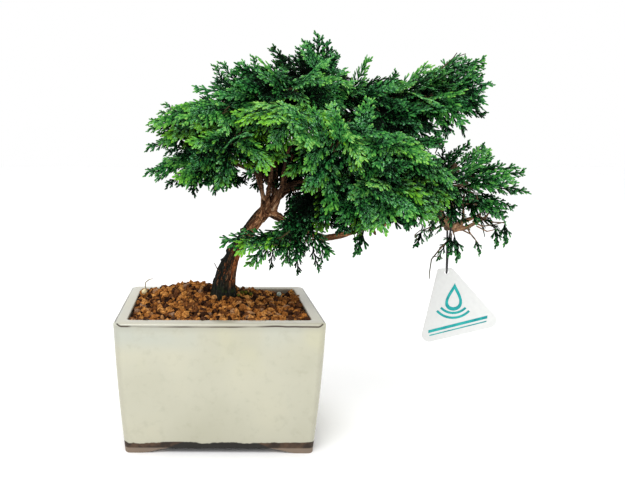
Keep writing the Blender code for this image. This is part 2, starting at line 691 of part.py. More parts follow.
def clear_fan(pad, turn, tilt, roll, wood_tree, other_trees):
    """The first of a spray's lengths, lifts and turns that touches nothing, or none."""
    hub = Vector(pad.place) * MM
    for length_share, lift, shift in itertools.product(FAN_LENGTHS, FAN_LIFTS, FAN_SHIFTS):
        heading = math.radians(turn + shift)
        reach = MM / math.hypot(math.cos(heading) / pad.size[0], math.sin(heading) / pad.size[1])
        length = reach * FAN_REACH * length_share
        if length < SHORTEST_FAN:
            continue
        room = fan_mesh("room", length * FAN_CLEARANCE, FAN_ROOM_THICK, turn + shift, tilt + lift, roll, hub)
        clear = fan_is_clear(pad, room, wood_tree, other_trees)
        bpy.data.meshes.remove(room)
        if clear:
            return fan_mesh("fan", length, FAN_THICK, turn + shift, tilt + lift, roll, hub)
    return None


def make_foliage(parts, stand, wood, wood_room, label_trees):
    green = make_material("cypress foliage", (0.05, 0.16, 0.04), 0.6)
    rng = random.Random(SEED)
    hubs = {pad.name: hub_mesh(pad) for pad in PADS}
    standing = {name: tree_of(hub)[0] for name, hub in hubs.items()}
    wood_tree, _ = tree_of(wood)
    for pad in PADS:
        others = [tree for name, tree in standing.items() if name != pad.name] + label_trees
        fans = place_fans(pad, wood_tree, others, rng)
        joined = boolean_mesh(pad.name, hubs[pad.name], fans, "UNION")
        seated = boolean_mesh(pad.name, joined, [wood_room.copy()], "DIFFERENCE")
        mesh = keep_largest_body(seated)
        standing[pad.name] = tree_of(mesh)[0]
        place_part("foliage_" + pad.name, mesh, parts, stand, green)


def rounded_outline(corners):
    """A closed outline through (x, y, radius) corners, each rounded by an arc."""
    outline = []
    count = len(corners)
    for index, (x, y, radius) in enumerate(corners):
        corner = Vector((x, y))
        before = (Vector(corners[index - 1][:2]) - corner).normalized()
        after = (Vector(corners[(index + 1) % count][:2]) - corner).normalized()
        half = before.angle(after) / 2
        centre = corner + (before + after).normalized() * radius / math.sin(half)
        start = corner + before * radius / math.tan(half) - centre
        turn = start.angle_signed(corner + after * radius / math.tan(half) - centre)
        for step in range(LABEL_ARC_STEPS + 1):
            arc = Matrix.Rotation(-turn * step / LABEL_ARC_STEPS, 2)
            outline.append((centre + arc @ start) * MM)
    return outline


def label_mesh():
    """A triangular plate with round corners and a hole near its cut top."""
    angles = [math.tau * index / LABEL_HOLE_SIDES for index in range(LABEL_HOLE_SIDES)]
    hole = [(LABEL_HOLE_RADIUS * math.cos(angle), LABEL_HOLE_RADIUS * math.sin(angle)) for angle in angles]
    plate = plate_mesh("label", [rounded_outline(LABEL_CORNERS), hole], LABEL_THICK)
    plate.transform(Matrix.Translation(LABEL_HOLE) @ Matrix.Rotation(math.radians(90), 4, "X"))
    return plate


def tie_mesh():
    """A wire loop over the fork of the far branch and through the label's hole."""
    low = LABEL_HOLE - Vector((0.0, 0.0, TIE_SAG))
    stations = []
    for index in range(TIE_POINTS):
        angle = math.tau * index / TIE_POINTS
        share = (1 + math.cos(angle)) / 2
        half = TIE_HALF_BOTTOM + (TIE_HALF_TOP - TIE_HALF_BOTTOM) * share
        place = low.lerp(TIE_TOP, share)
        place.y += half * math.copysign(abs(math.sin(angle)) ** TIE_SQUARENESS, math.sin(angle))
        stations.append((place, TIE_RADIUS))
    return tube_mesh("label_tie", stations, 1, closed=True)


def trunk_hole_mesh():
    """The plain round hole that the trunk stands in."""
    buried = [bend for bend in LIMBS["trunk"] if bend[2] <= TRUNK_HOLE_TOP]
    stations = smooth_stations(buried, TRUNK_STEPS, TRUNK_HOLE_GAP)
    bottom, radius = stations[0]
    stations[0] = (bottom + (bottom - stations[1][0]).normalized() * FIT_GAP, radius)
    return tube_mesh("trunk_hole", stations, TRUNK_SIDES)


def main():
    clear_scene()
    parts = new_collection("hinoki_bonsai")
    cutters = new_collection("cutters")
    stand = bpy.data.objects.new("plant_place", None)
    stand.location = POT_PLACE
    parts.objects.link(stand)

    make_pot(parts, cutters, stand)
    make_screens(parts, stand)
    make_soil(parts, cutters, stand, trunk_hole_mesh())

    wood = wood_mesh("wood", 0.0)
    weld(wood)
    wood_room = wood_mesh("wood_room", SEAT_GAP)
    bark = make_material("cypress bark", (0.10, 0.055, 0.035), 0.9)
    place_part("wood", wood, parts, stand, bark, WOOD_SHARP)

    label = label_mesh()
    tie = tie_mesh()
    make_foliage(parts, stand, wood, wood_room, [tree_of(label)[0], tree_of(tie)[0]])
    bpy.data.meshes.remove(wood_room)
    white = make_material("white label plastic", (0.84, 0.85, 0.84), 0.4)
    place_part("label", label, parts, stand, white)
    black = make_material("black tie wire", (0.02, 0.02, 0.02), 0.5)
    place_part("label_tie", tie, parts, stand, black, WOOD_SHARP)


main()
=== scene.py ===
"""A hinoki cypress bonsai in a celadon-glazed pot: its looks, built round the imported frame."""

import json
import math
import random
from collections import namedtuple

import bmesh
import bpy
from mathutils import Matrix, Vector, noise
from mathutils.kdtree import KDTree

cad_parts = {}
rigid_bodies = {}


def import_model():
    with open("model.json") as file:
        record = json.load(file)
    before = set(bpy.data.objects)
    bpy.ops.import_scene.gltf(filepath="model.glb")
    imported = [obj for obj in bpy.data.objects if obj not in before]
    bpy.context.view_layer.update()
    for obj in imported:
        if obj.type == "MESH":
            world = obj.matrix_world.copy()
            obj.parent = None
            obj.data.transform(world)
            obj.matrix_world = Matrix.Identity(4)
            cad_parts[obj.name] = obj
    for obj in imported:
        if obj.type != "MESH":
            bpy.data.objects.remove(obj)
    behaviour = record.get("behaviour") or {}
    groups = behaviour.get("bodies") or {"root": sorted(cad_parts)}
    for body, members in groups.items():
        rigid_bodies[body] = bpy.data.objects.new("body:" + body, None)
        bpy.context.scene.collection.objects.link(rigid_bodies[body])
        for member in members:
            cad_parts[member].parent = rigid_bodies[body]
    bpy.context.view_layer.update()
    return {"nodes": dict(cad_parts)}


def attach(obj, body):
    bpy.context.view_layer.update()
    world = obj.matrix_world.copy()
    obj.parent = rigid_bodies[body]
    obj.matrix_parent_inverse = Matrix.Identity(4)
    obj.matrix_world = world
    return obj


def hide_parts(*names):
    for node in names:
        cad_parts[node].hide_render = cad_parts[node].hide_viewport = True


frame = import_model()

MM = 0.001
SEED = 7
UP = Vector((0, 0, 1))

# The pot's middle in the frame. Places on the potting plan are millimetres from it
POT_PLACE = Vector((-86.7, -7.0, 0.0)) * MM

# Camera, in metres of the frame
CAMERA_PLACE = (-0.0942, -0.4777, 0.2266)
CAMERA_PITCH = 0.154
CAMERA_TURN = 0.008
CAMERA_LENS = 34.76
CAMERA_SHIFT = 0.173

# Lights, in metres of the frame: name, place, size and power
LIGHTS = (
    ("key", (-0.4, -0.8, 1.4), 0.6, 10.0),
    ("fill", (1.1, -0.7, 0.7), 0.9, 1.0),
    ("top", (0.1, 0.3, 1.5), 0.9, 3.5),
)
LIGHT_TARGET = (0.0, 0.0, 0.2)

# Pot
POT_SIZE = Vector((153.0, 115.5, 101.5))
POT_LEAN = 6.3
POT_SWELL = 0.8
POT_WALL = 9.5
POT_FLOOR = 13.0
POT_CORNER = 6.0
CORNER_STEPS = 8
RIM_ROUND = 2.4
LIP_ROUND = 1.2
HOLLOW_CORNER = 4.2
FOOT_HEIGHT = 3.8
FOOT_LENGTH = 22.0
OGEE_FRONT = 22.0
OGEE_SIDE = 12.0
OGEE_STEPS = 16
CUTTER_REACH = 100.0
DRAIN_RADIUS = 6.0
DRAIN_PLACE = 32.0

# Glaze: the heights of its two edges in metres, and how rough it and the bare clay are
LIP_LINE = 0.0980
CLAY_LINE = 0.0088
GLAZE_ROUGHNESS = 0.22
CLAY_ROUGHNESS = 0.85

# Soil: where its top begins, in metres, and how far that sinks, heaps and dips, in millimetres
SOIL_TOP = 0.085
SOIL_SINK = 1.8
SOIL_HEAP = 8.0
SOIL_DIP = 3.0

# Clay grains: how many kinds, how many to a square metre, and their half sizes in millimetres
GRAIN_KINDS = 8
GRAINS_PER_AREA = 115000.0
SMALLEST_GRAIN = 1.6
LARGEST_GRAIN = 4.3
COLOUR_SEED = 91

# Label, its print and tie, and what lies on the soil
LABEL_HOLE = (183.0, 125.5)
LABEL_HOLE_RADIUS = 1.8
LABEL_FRONT = 4.6
LABEL_THICK = 0.8
LABEL_CORNERS = ((175.8, 128.4, 2.0), (164.6, 65.7, 6.0), (231.2, 82.4, 6.0), (187.2, 129.2, 3.0))
STRAP_SPREAD = 0.32
STRAP_HEIGHTS = (150, 162)
TIE_SWELL = 0.28
PRINT_RISE = 0.12
PRINT_SINK = 0.35
DROP_PLACE = (190.0, 105.5)
DROP_HEIGHT = 23.0
RIPPLE_RADII = (12.5, 16.5)
RIPPLE_WIDTH = 1.9
RULES = ((((171.0, 77.5), (218.0, 90.0)), 2.4), (((172.0, 73.5), (217.5, 85.6)), 0.9))
PALE_PELLET = (((-61.5, 20, 105.5), 2.2),)
GREY_PELLET = (((50.9, 20, 103.5), 2.0),)
MOSS = (((19, 4, 109), 1.6), ((22.5, 6, 108.5), 2.0), ((26, 5, 107.5), 1.7), ((16, -3, 108.5), 1.2))
SPRIG = ((-60, 28, 104), (-61.5, 27, 108), (-61, 26, 112), (-58, 26, 114.5), (-55, 27, 115))
SPRIG_RADII = (0.55, 0.5, 0.45, 0.4, 0.3)

# Sprays: the kinds that fill the pads, then those that hang alone or thin out the far pads
Spray = namedtuple("Spray", "length droop cup curl branchlets spread fan blade")
SPRAYS = (
    Spray(38.0, 0.16, 0.30, 0.10, 11, 0.38, 43, 1.7),
    Spray(36.0, 0.26, 0.20, -0.12, 10, 0.42, 43, 1.7),
    Spray(40.0, 0.10, 0.42, 0.16, 11, 0.35, 41, 1.7),
    Spray(34.0, 0.34, 0.34, -0.06, 10, 0.46, 43, 1.7),
    Spray(37.0, 0.20, 0.16, 0.22, 11, 0.40, 41, 1.7),
    Spray(42.0, 0.30, 0.24, 0.05, 11, 0.30, 39, 1.7),
    Spray(36.0, 0.05, 0.20, 0.04, 10, 0.32, 40, 1.7),
    Spray(34.0, 0.25, 0.10, 0.16, 7, 0.30, 30, 1.5),
    Spray(34.0, 0.20, 0.10, -0.30, 7, 0.30, 30, 1.5),
    Spray(15.0, 0.22, 0.12, 0.05, 5, 0.55, 30, 1.7),
)
STRAIGHT, THIN, THIN_TOO, TUFT = 6, 7, 8, 9
PAD_KINDS = (0, 1, 2, 3, 4, 5)
FAR_KINDS = (1, 3, STRAIGHT, THIN, THIN_TOO, THIN)

# The leaves of a spray: lengths, spacing and a thin one's width in millimetres, and where they are widest
LEAF_LENGTH = 8.2
LEAF_LOSS = 2.2
END_LEAF = 6.0
LEAF_PITCH = 3.5
THIN_BLADE = 1.6
LEAF_SHOULDER = 0.84

# Pads of foliage: place and half sizes, the way the pad grows out and climbs, how light it is with painted
# shade on back and inner pads, and how fresh it is
Pad = namedtuple("Pad", "name place size heading lift tone fresh")
PADS = (
    Pad("left_top", (24, 8, 267), (28, 24, 13), 122, 22, 0.50, 0.35),
    Pad("left_shelf", (-2, -20, 250), (38, 22, 9), 190, -10, 0.54, 0.75),
    Pad("left_outer", (-12, 2, 242), (32, 24, 8), 186, -17, 0.50, 0.55),
    Pad("left_front", (8, -38, 227), (28, 20, 12), 225, -12, 0.50, 0.60),
    Pad("left_low", (-15, 0, 214.5), (33, 22, 6), 184, -6, 0.55, 0.30),
    Pad("left_drop", (-8, -24, 212), (22, 16, 7), 205, -16, 0.60, 0.55),
    Pad("apex", (74, 14, 284), (22, 14, 14), 85, 44, 0.34, 0.20),
    Pad("crown_mid", (54, -12, 268), (36, 24, 14), 262, 16, 0.46, 0.40),
    Pad("crown_front", (46, -42, 246), (32, 18, 12), 250, -12, 0.63, 0.85),
    Pad("front_fan", (76, -52, 222), (26, 14, 24), 265, -38, 0.63, 0.40),
    Pad("crown_right", (104, 2, 266), (28, 24, 12), 320, 8, 0.46, 0.25),
    Pad("right_top", (144, 18, 267), (25, 24, 11), 10, 10, 0.47, 0.25),
    Pad("right_tip", (174, 16, 271), (25, 24, 13), 8, 18, 0.50, 0.40),
    Pad("right_under", (162, 0, 258), (26, 24, 11), 345, -6, 0.46, 0.35),
    Pad("right_mid", (124, -14, 246), (32, 22, 13), 285, -8, 0.38, 0.25),
    Pad("front_high", (116, -44, 224), (30, 18, 13), 280, -18, 0.56, 0.50),
    Pad("front_side", (140, -32, 206), (28, 20, 13), 320, -14, 0.46, 0.45),
    Pad("front_low", (116, -48, 194), (34, 18, 12), 285, -18, 0.54, 0.60),
    Pad("inner_front", (76, -34, 190), (30, 18, 20), 262, -26, 0.33, 0.35),
    Pad("cascade_drop", (64, -24, 163), (24, 14, 6), 262, -24, 0.52, 0.45),
    Pad("trunk_spray", (38, -30, 157), (20, 9, 3), 190, -5, 0.50, 0.80),
    Pad("cascade_tip", (112, -28, 178), (28, 14, 9), 300, -16, 0.42, 0.35),
    Pad("far_top", (186, 8, 212), (23, 20, 10), 16, 36, 0.50, 0.15),
    Pad("far_side", (195, 6, 198), (28, 20, 12), 358, 8, 0.62, 0.35),
    Pad("far_inner", (172, -12, 197), (18, 16, 15), 262, -14, 0.52, 0.25),
    Pad("far_low", (204, 4, 182), (24, 18, 10), 350, -8, 0.54, 0.15),
    Pad("back_left", (16, 48, 249), (34, 22, 14), 120, 4, 0.34, 0.20),
    Pad("back_crown", (72, 54, 262), (38, 24, 16), 90, 12, 0.36, 0.20),
    Pad("back_right", (133, 50, 250), (36, 22, 15), 60, 4, 0.36, 0.25),
    Pad("back_low", (132, 38, 212), (34, 20, 16), 60, -8, 0.34, 0.20),
    Pad("top_saddle", (36, 6, 278), (24, 16, 8), 120, 24, 0.46, 0.35),
    Pad("by_stems", (66, 8, 215), (20, 16, 20), 270, -20, 0.26, 0.10),
    Pad("behind_stems", (40, 22, 214), (18, 14, 12), 250, -20, 0.22, 0.10),
    Pad("elbow", (154, 2, 224), (10, 12, 9), 310, -26, 0.36, 0.20),
    Pad("arm_low", (128, -22, 190), (28, 14, 9), 300, -24, 0.44, 0.40),
    Pad("left_mid", (-10, -6, 222), (16, 18, 6), 190, -14, 0.42, 0.40),
    Pad("right_gap", (182, 6, 264), (14, 16, 10), 350, -2, 0.42, 0.30),
)

# How full the pads are, the hollow in the crown's front, and how sprays are laid from each place
SPRAYS_PER_AREA = 0.0215
FAR_FILL = 0.50
RECESS = ((84, -52, 222), (9, 24, 15))
WIDEST_SWING = 115.0
SPRAY_BACK = 23
SPRAY_AHEAD = 11
PAD_SWAY = 0.14
LONE_SWAY = 0.05
LONE_LENGTH = 1.08

# Where the tips of a pad's sprays don't reach, as middles and half sizes
OPEN_AIR = (
    ((107, -14, 290), (9, 14, 11)),
    ((45, 22, 302), (9, 12, 7)),
    ((162, 5, 293), (20, 32, 7)),
    ((4, -20, 196), (11, 22, 7)),
    ((-42, 4, 217), (15, 28, 5)),
    ((25, -36, 142), (12, 14, 9)),
    ((50, -35, 141), (10, 14, 9)),
    ((123, -25, 155), (11, 14, 8)),
    ((94, -40, 162), (30, 30, 11)),
    ((124, -44, 166), (14, 30, 9)),
    ((44, -34, 204), (19, 32, 17)),
    ((62, -44, 192), (14, 24, 12)),
)

# Shade: how far off others count, how much they darken, how many make it full, and a spray's middle
SHADE_REACH = 24.0
SHADE_SHARE = 0.34
SHADE_CROWD = 22
SPRAY_MIDDLE = 20

# Sprays that show alone: root, tip, kind, how light with painted shade in it, and how fresh
Lone = namedtuple("Lone", "root tip kind tone fresh")
LONE_SPRAYS = (
    Lone((160, 0, 160), (155, -2, 150), TUFT, 0.26, 0.1),
    Lone((184, 2, 156), (170, -1, 140), THIN, 0.36, 0.2),
    Lone((186, 2, 156), (190, -3, 141), TUFT, 0.36, 0.2),
    Lone((184, 2, 155), (183, -3, 144), TUFT, 0.32, 0.2),
    Lone((202, 0, 153), (206, -3, 144), TUFT, 0.38, 0.2),
    Lone((225, 2, 166), (227, -1, 152), TUFT, 0.40, 0.2),
    Lone((218, 2, 162), (220, -1, 150), TUFT, 0.38, 0.2),
    Lone((206, 4, 170), (229, 0, 164), THIN_TOO, 0.40, 0.2),
    Lone((68, 12, 276), (57, 10, 296), STRAIGHT, 0.38, 0.4),
    Lone((130, 16, 268), (139, 16, 284), STRAIGHT, 0.44, 0.4),
    Lone((184, 14, 280), (192, 14, 294), STRAIGHT, 0.46, 0.5),
    Lone((16, 6, 270), (2, 8, 291), STRAIGHT, 0.46, 0.5),
    Lone((-26, -8, 248), (-42, -10, 258), STRAIGHT, 0.50, 0.7),
    Lone((194, 6, 202), (212, 6, 219), STRAIGHT, 0.38, 0.3),
    Lone((204, 4, 192), (225, 2, 172), STRAIGHT, 0.38, 0.3),
    Lone((-12, -4, 214), (-22, -8, 189), STRAIGHT, 0.42, 0.4),
    Lone((56, 2, 196), (54, -2, 184), TUFT, 0.22, 0.1),
    Lone((62, 0, 190), (56, -3, 178), TUFT, 0.24, 0.1),
    Lone((50, 4, 200), (49, 0, 190), TUFT, 0.20, 0.1),
    Lone((60, 2, 187), (53, -2, 176), TUFT, 0.24, 0.1),
    Lone((64, 0, 182), (56, -3, 172), TUFT, 0.26, 0.1),
    Lone((108, -24, 164), (104, -26, 148), TUFT, 0.34, 0.2),
    Lone((106, -24, 162), (100, -27, 149), THIN, 0.34, 0.2),
    # These three, at the back of the hollow in the crown's front, are painted near black as shade
    Lone((86, -4, 238), (84, -12, 206), 0, -0.10, 0.0),
    Lone((94, -2, 234), (88, -10, 204), 1, -0.10, 0.0),
    Lone((78, -2, 232), (84, -10, 206), 2, -0.08, 0.0),
    Lone((80, -66, 224), (77, -66, 255), 0, 0.66, 0.5),
    Lone((68, -64, 226), (66, -64, 252), 2, 0.54, 0.3),
    Lone((94, -62, 232), (97, -62, 258), 1, 0.58, 0.4),
    Lone((62, -62, 234), (46, -62, 254), 3, 0.60, 0.5),
    Lone((100, -60, 226), (122, -64, 234), 0, 0.54, 0.2),
    Lone((104, -64, 210), (132, -66, 214), 2, 0.44, 0.2),
    Lone((98, -66, 200), (124, -68, 188), 4, 0.50, 0.4),
    Lone((92, -66, 196), (100, -70, 170), 0, 0.52, 0.6),
    Lone((122, -60, 196), (146, -60, 180), 5, 0.50, 0.5),
    Lone((84, -56, 200), (66, -58, 180), 4, 0.34, 0.1),
    Lone((124, -56, 220), (150, -56, 212), 1, 0.44, 0.2),
    Lone((43, -28, 158), (35, -31, 137), THIN, 0.30, 0.1),
    Lone((68, -26, 158), (74, -29, 133), THIN, 0.30, 0.1),
    Lone((60, -24, 157), (54, -27, 132), THIN, 0.30, 0.2),
    Lone((76, -26, 158), (82, -29, 139), THIN_TOO, 0.34, 0.2),
    Lone((150, -20, 172), (156, -24, 156), THIN, 0.40, 0.3),
    Lone((-28, -10, 249), (-46, -12, 251), STRAIGHT, 0.52, 0.8),
    Lone((-30, 0, 232), (-57, -2, 225), STRAIGHT, 0.48, 0.5),
    Lone((-30, -8, 240), (-54, -12, 240), STRAIGHT, 0.52, 0.7),
    Lone((-30, 0, 212), (-58, -2, 205), STRAIGHT, 0.48, 0.5),
    Lone((-18, -4, 227), (-42, -6, 221), STRAIGHT, 0.48, 0.5),
    Lone((-20, -4, 208), (-42, -6, 196), STRAIGHT, 0.42, 0.4),
    Lone((6, 6, 270), (-4, 8, 288), STRAIGHT, 0.46, 0.5),
    Lone((30, 4, 276), (27, 6, 295), STRAIGHT, 0.46, 0.5),
    Lone((77, 13, 282), (78, 14, 312), STRAIGHT, 0.40, 0.4),
    Lone((74, 15, 282), (73, 15, 306), STRAIGHT, 0.36, 0.3),
    Lone((70, 12, 280), (60, 10, 298), STRAIGHT, 0.38, 0.3),
    Lone((84, 12, 280), (92, 10, 297), STRAIGHT, 0.38, 0.3),
    Lone((176, 14, 280), (200, 14, 290), STRAIGHT, 0.46, 0.5),
    Lone((-28, -8, 246), (-54, -10, 244), STRAIGHT, 0.50, 0.7),
    Lone((84, 12, 276), (98, 12, 284), STRAIGHT, 0.36, 0.4),
    Lone((72, 12, 278), (63, 10, 302), STRAIGHT, 0.40, 0.4),
    Lone((74, 12, 280), (69, 10, 307), STRAIGHT, 0.38, 0.3),
    Lone((176, 14, 284), (208, 14, 293), STRAIGHT, 0.50, 0.6),
    Lone((184, 12, 280), (207, 12, 287), STRAIGHT, 0.46, 0.5),
    Lone((184, 10, 266), (206, 8, 268), STRAIGHT, 0.46, 0.5),
    Lone((212, 6, 196), (249, 4, 192), THIN, 0.44, 0.3),
    Lone((210, 5, 195), (236, 4, 190), STRAIGHT, 0.42, 0.3),
    Lone((206, 4, 189), (233, 3, 177), STRAIGHT, 0.40, 0.3),
    Lone((200, 5, 202), (220, 5, 212), STRAIGHT, 0.38, 0.3),
    Lone((200, 6, 206), (237, 4, 212), THIN, 0.42, 0.3),
    Lone((176, 8, 214), (196, 6, 228), STRAIGHT, 0.36, 0.3),
    Lone((188, 8, 210), (208, 6, 226), STRAIGHT, 0.38, 0.3),
    Lone((170, 2, 182), (166, -4, 162), THIN, 0.34, 0.3),
    Lone((176, 0, 178), (176, -6, 160), THIN_TOO, 0.34, 0.3),
    Lone((188, 2, 178), (196, -2, 160), THIN, 0.36, 0.3),
    Lone((206, 4, 182), (226, 2, 168), STRAIGHT, 0.40, 0.3),
    Lone((200, 4, 184), (216, 2, 166), THIN, 0.38, 0.3),
    Lone((178, 14, 276), (206, 12, 279), STRAIGHT, 0.44, 0.5),
    Lone((176, 8, 264), (204, 8, 262), STRAIGHT, 0.42, 0.4),
    Lone((174, 4, 258), (205, 2, 249), STRAIGHT, 0.42, 0.4),
    Lone((168, -4, 176), (160, -8, 158), THIN, 0.38, 0.3),
    Lone((210, 4, 202), (238, 2, 206), STRAIGHT, 0.44, 0.3),
    Lone((50, -32, 161), (20, -36, 156), STRAIGHT, 0.56, 0.4),
    Lone((38, -33, 161), (2, -36, 160), 1, 0.44, 0.5),
    Lone((28, -34, 160), (15, -38, 152), TUFT, 0.60, 1.2),
    Lone((42, -34, 161), (34, -38, 155), TUFT, 0.60, 1.2),
    Lone((52, -33, 161), (46, -37, 155), TUFT, 0.56, 0.9),
)

# A spray once it is placed: its root, which way it points and faces, and how it looks
Placed = namedtuple("Placed", "root along up size tone fresh kind")

# The middle lines of trunk and limbs, which the bark's fibres follow
LIMBS = (
    ((5, 5, 80), (6, 5, 105), (7, 5, 121), (10, 4, 134), (15, 2, 150), (22, 0, 164), (29, 0, 173),
     (34, 1, 178)),
    ((32, 0, 174), (34, 1, 184), (33, 2, 193), (29, 4, 206), (23, 7, 222), (17, 9, 240), (12, 10, 256)),
    ((44, 5, 194), (35, 0, 202), (21, -5, 209), (8, -9, 214), (-5, -8, 217), (-16, -5, 219)),
    ((36, 3, 176), (43, 4, 187), (45, 6, 199), (44, 8, 212), (43, 10, 223), (47, 12, 237), (54, 14, 252),
     (66, 16, 277)),
    ((39, 0, 177), (46, -4, 188), (49, -7, 197), (49, -9, 207), (50, -15, 218), (53, -24, 228),
     (57, -32, 234)),
    ((45, -4, 190), (62, -2, 198), (93, 7, 207), (129, 10, 218), (144, 10, 226), (153, 11, 235),
     (166, 14, 260)),
    ((36, 1, 174), (45, -3, 169), (55, -7, 164), (66, -10, 159), (77, -12, 156), (98, -16, 162),
     (121, -18, 168)),
    ((94, -15, 161), (100, -20, 170), (108, -27, 178), (118, -33, 186)),
    ((126, 10, 217), (149, 12, 209), (160, 10, 198), (169, 6, 182), (175, 4, 169), (182, 3, 159.5),
     (191, 4, 162), (208, 6, 171)),
    ((185, 3, 160), (188.5, 4, 170), (190, 6, 180), (194, 7, 192), (198, 8, 205)),
    ((43, 9, 216), (48, 20, 228), (57, 34, 242), (65, 46, 254)),
    ((100, 8, 209), (108, 20, 216), (117, 34, 227), (126, 46, 240)),
)

# How the wood departs from the CAD's: shares of its thickness, leans in millimetres, a twig drawn in
LIMB_SLIMNESS = 0.78
FOOT_STOUTNESS = 1.06
STEM_TAPER = 0.14
TRUNK_LEAN = 4.4
FOOT_LEAN = 1.8
HIDDEN_TWIG = ((40, -18, 160), (18, 17, 13))

# Bark: the size of the cells that melt its forks, and how its fibres and plates are drawn
MELT_CELL = 0.62
FIBRE_DRAW = 0.86
FIBRE_SCALE = 420.0
PLATE_SCALE = 210.0

# Twigs: radii at both ends, how short and how long they may be, and how far behind a pad they start
PAD_BRANCH = (1.5, 0.8)
SPRAY_TWIG = (0.75, 0.45)
LONE_TWIG = (0.7, 0.45)
SHORTEST_TWIG = 2
TWIG_REACH = 26
BRANCH_BACK = 18

# Bare twigs: points and radii
BARE_TWIGS = (
    (((80, -13, 156), (64, -26, 156), (50, -31, 157), (34, -33, 156)), (1.0, 0.9, 0.8, 0.5)),
    (((4, 1, 123), (-0.5, 0, 128), (-3.4, 0, 134)), (0.6, 0.4, 0.3)),
    (((150, 14, 266), (166, 14, 280), (180, 14, 291), (184, 14, 297)), (0.9, 0.7, 0.5, 0.3)),
    (((176, 14, 288), (181, 13, 293), (190, 12, 296)), (0.5, 0.4, 0.3)),
    (((184, 3, 154), (176, 2, 146), (168.4, 0, 137), (166.8, -2, 128), (166.5, -3, 122)),
     (0.7, 0.6, 0.5, 0.4, 0.3)),
    (((169, 0, 139), (173, -1, 140), (177, -1, 138)), (0.4, 0.4, 0.3)),
    (((191, 4, 161), (198.5, 1, 157), (204, -1, 150)), (0.7, 0.5, 0.4)),
    (((201, 5, 167), (208, 4, 163), (216, 3, 164), (226, 2, 167)), (0.8, 0.6, 0.5, 0.4)),
    (((204, 4, 163), (212, 3, 159), (219, 2, 161)), (0.6, 0.5, 0.4)),
    (((174, 4, 162), (166, 2, 159.5), (158, 0, 160), (154, -1, 157), (156, -1, 153)),
     (0.7, 0.5, 0.45, 0.4, 0.3)),
    (((176, 10, 232), (171, 6, 226), (168, 4, 220)), (0.6, 0.5, 0.4)),
)

# Thin upright stems, limbs at the far fork, and a knob and a stub on the trunk: points and radii
EXTRA_STEMS = (
    (((34, 1, 170), (34, -3, 184), (33, -4, 198), (30, -3, 214)), (2.2, 1.7, 1.5, 1.2)),
    (((38, -1, 174), (38, -5, 190), (40, -7, 206), (41, -10, 222)), (2.2, 1.8, 1.6, 1.3)),
    (((41, 1, 178), (49, 1, 190), (53, 0, 204), (57, -3, 220)), (2.2, 1.8, 1.5, 1.2)),
    (((40, 0, 182), (55, 3, 191), (68, 6, 196), (80, 5, 200)), (2.6, 2.1, 1.8, 1.5)),
    (((12, 3, 141), (9, 2, 143), (6.4, 1, 144.5)), (3.8, 3.4, 2.0)),
    (((170, 6, 178), (174.5, 4, 171.5), (179, 3, 163.5)), (2.4, 2.8, 3.0)),
    (((179, 3, 162), (186, 4, 163), (193, 5, 166.5), (201, 6, 169.5), (208, 7, 172)),
     (2.9, 2.6, 2.2, 1.8, 1.2)),
    (((181, 3, 162), (183, 5, 172), (185.5, 6, 181), (188, 7, 191), (193, 8, 199)),
     (2.0, 1.7, 1.5, 1.2, 0.9)),
    (((24, 2, 157), (20.5, 1, 160), (17.0, 0, 160.5)), (3.4, 2.6, 1.3)),
)


def planned(x, y, z):
    """A place on the potting plan as a point of the frame."""
    return Vector((x, y, z)) * MM + POT_PLACE


def linear(*paint):
    """A paint colour of 0 to 255 a channel, as the shaders take it."""
    shares = [value / 255 for value in paint]
    return (*(s / 12.92 if s <= 0.04045 else ((s + 0.055) / 1.055) ** 2.4 for s in shares), 1.0)


def rise(value, low, high):
    """A share that goes smoothly from 0 at one value to 1 at another."""
    share = min(1.0, max(0.0, (value - low) / (high - low)))
    return share * share * (3 - 2 * share)


# Nodes

def feed(tree, socket, value):
    """Joins a socket to another, or gives it a plain value."""
    if isinstance(value, bpy.types.NodeSocket):
        tree.links.new(value, socket)
    else:
        socket.default_value = value


def tree_node(tree, kind, inputs=None, **settings):
    """A new node, with its settings made and its inputs fed."""
    made = tree.nodes.new(kind)
    for name, value in settings.items():
        setattr(made, name, value)
    for socket, value in (inputs or {}).items():
        feed(tree, made.inputs[socket], value)
    return made


# Finishes

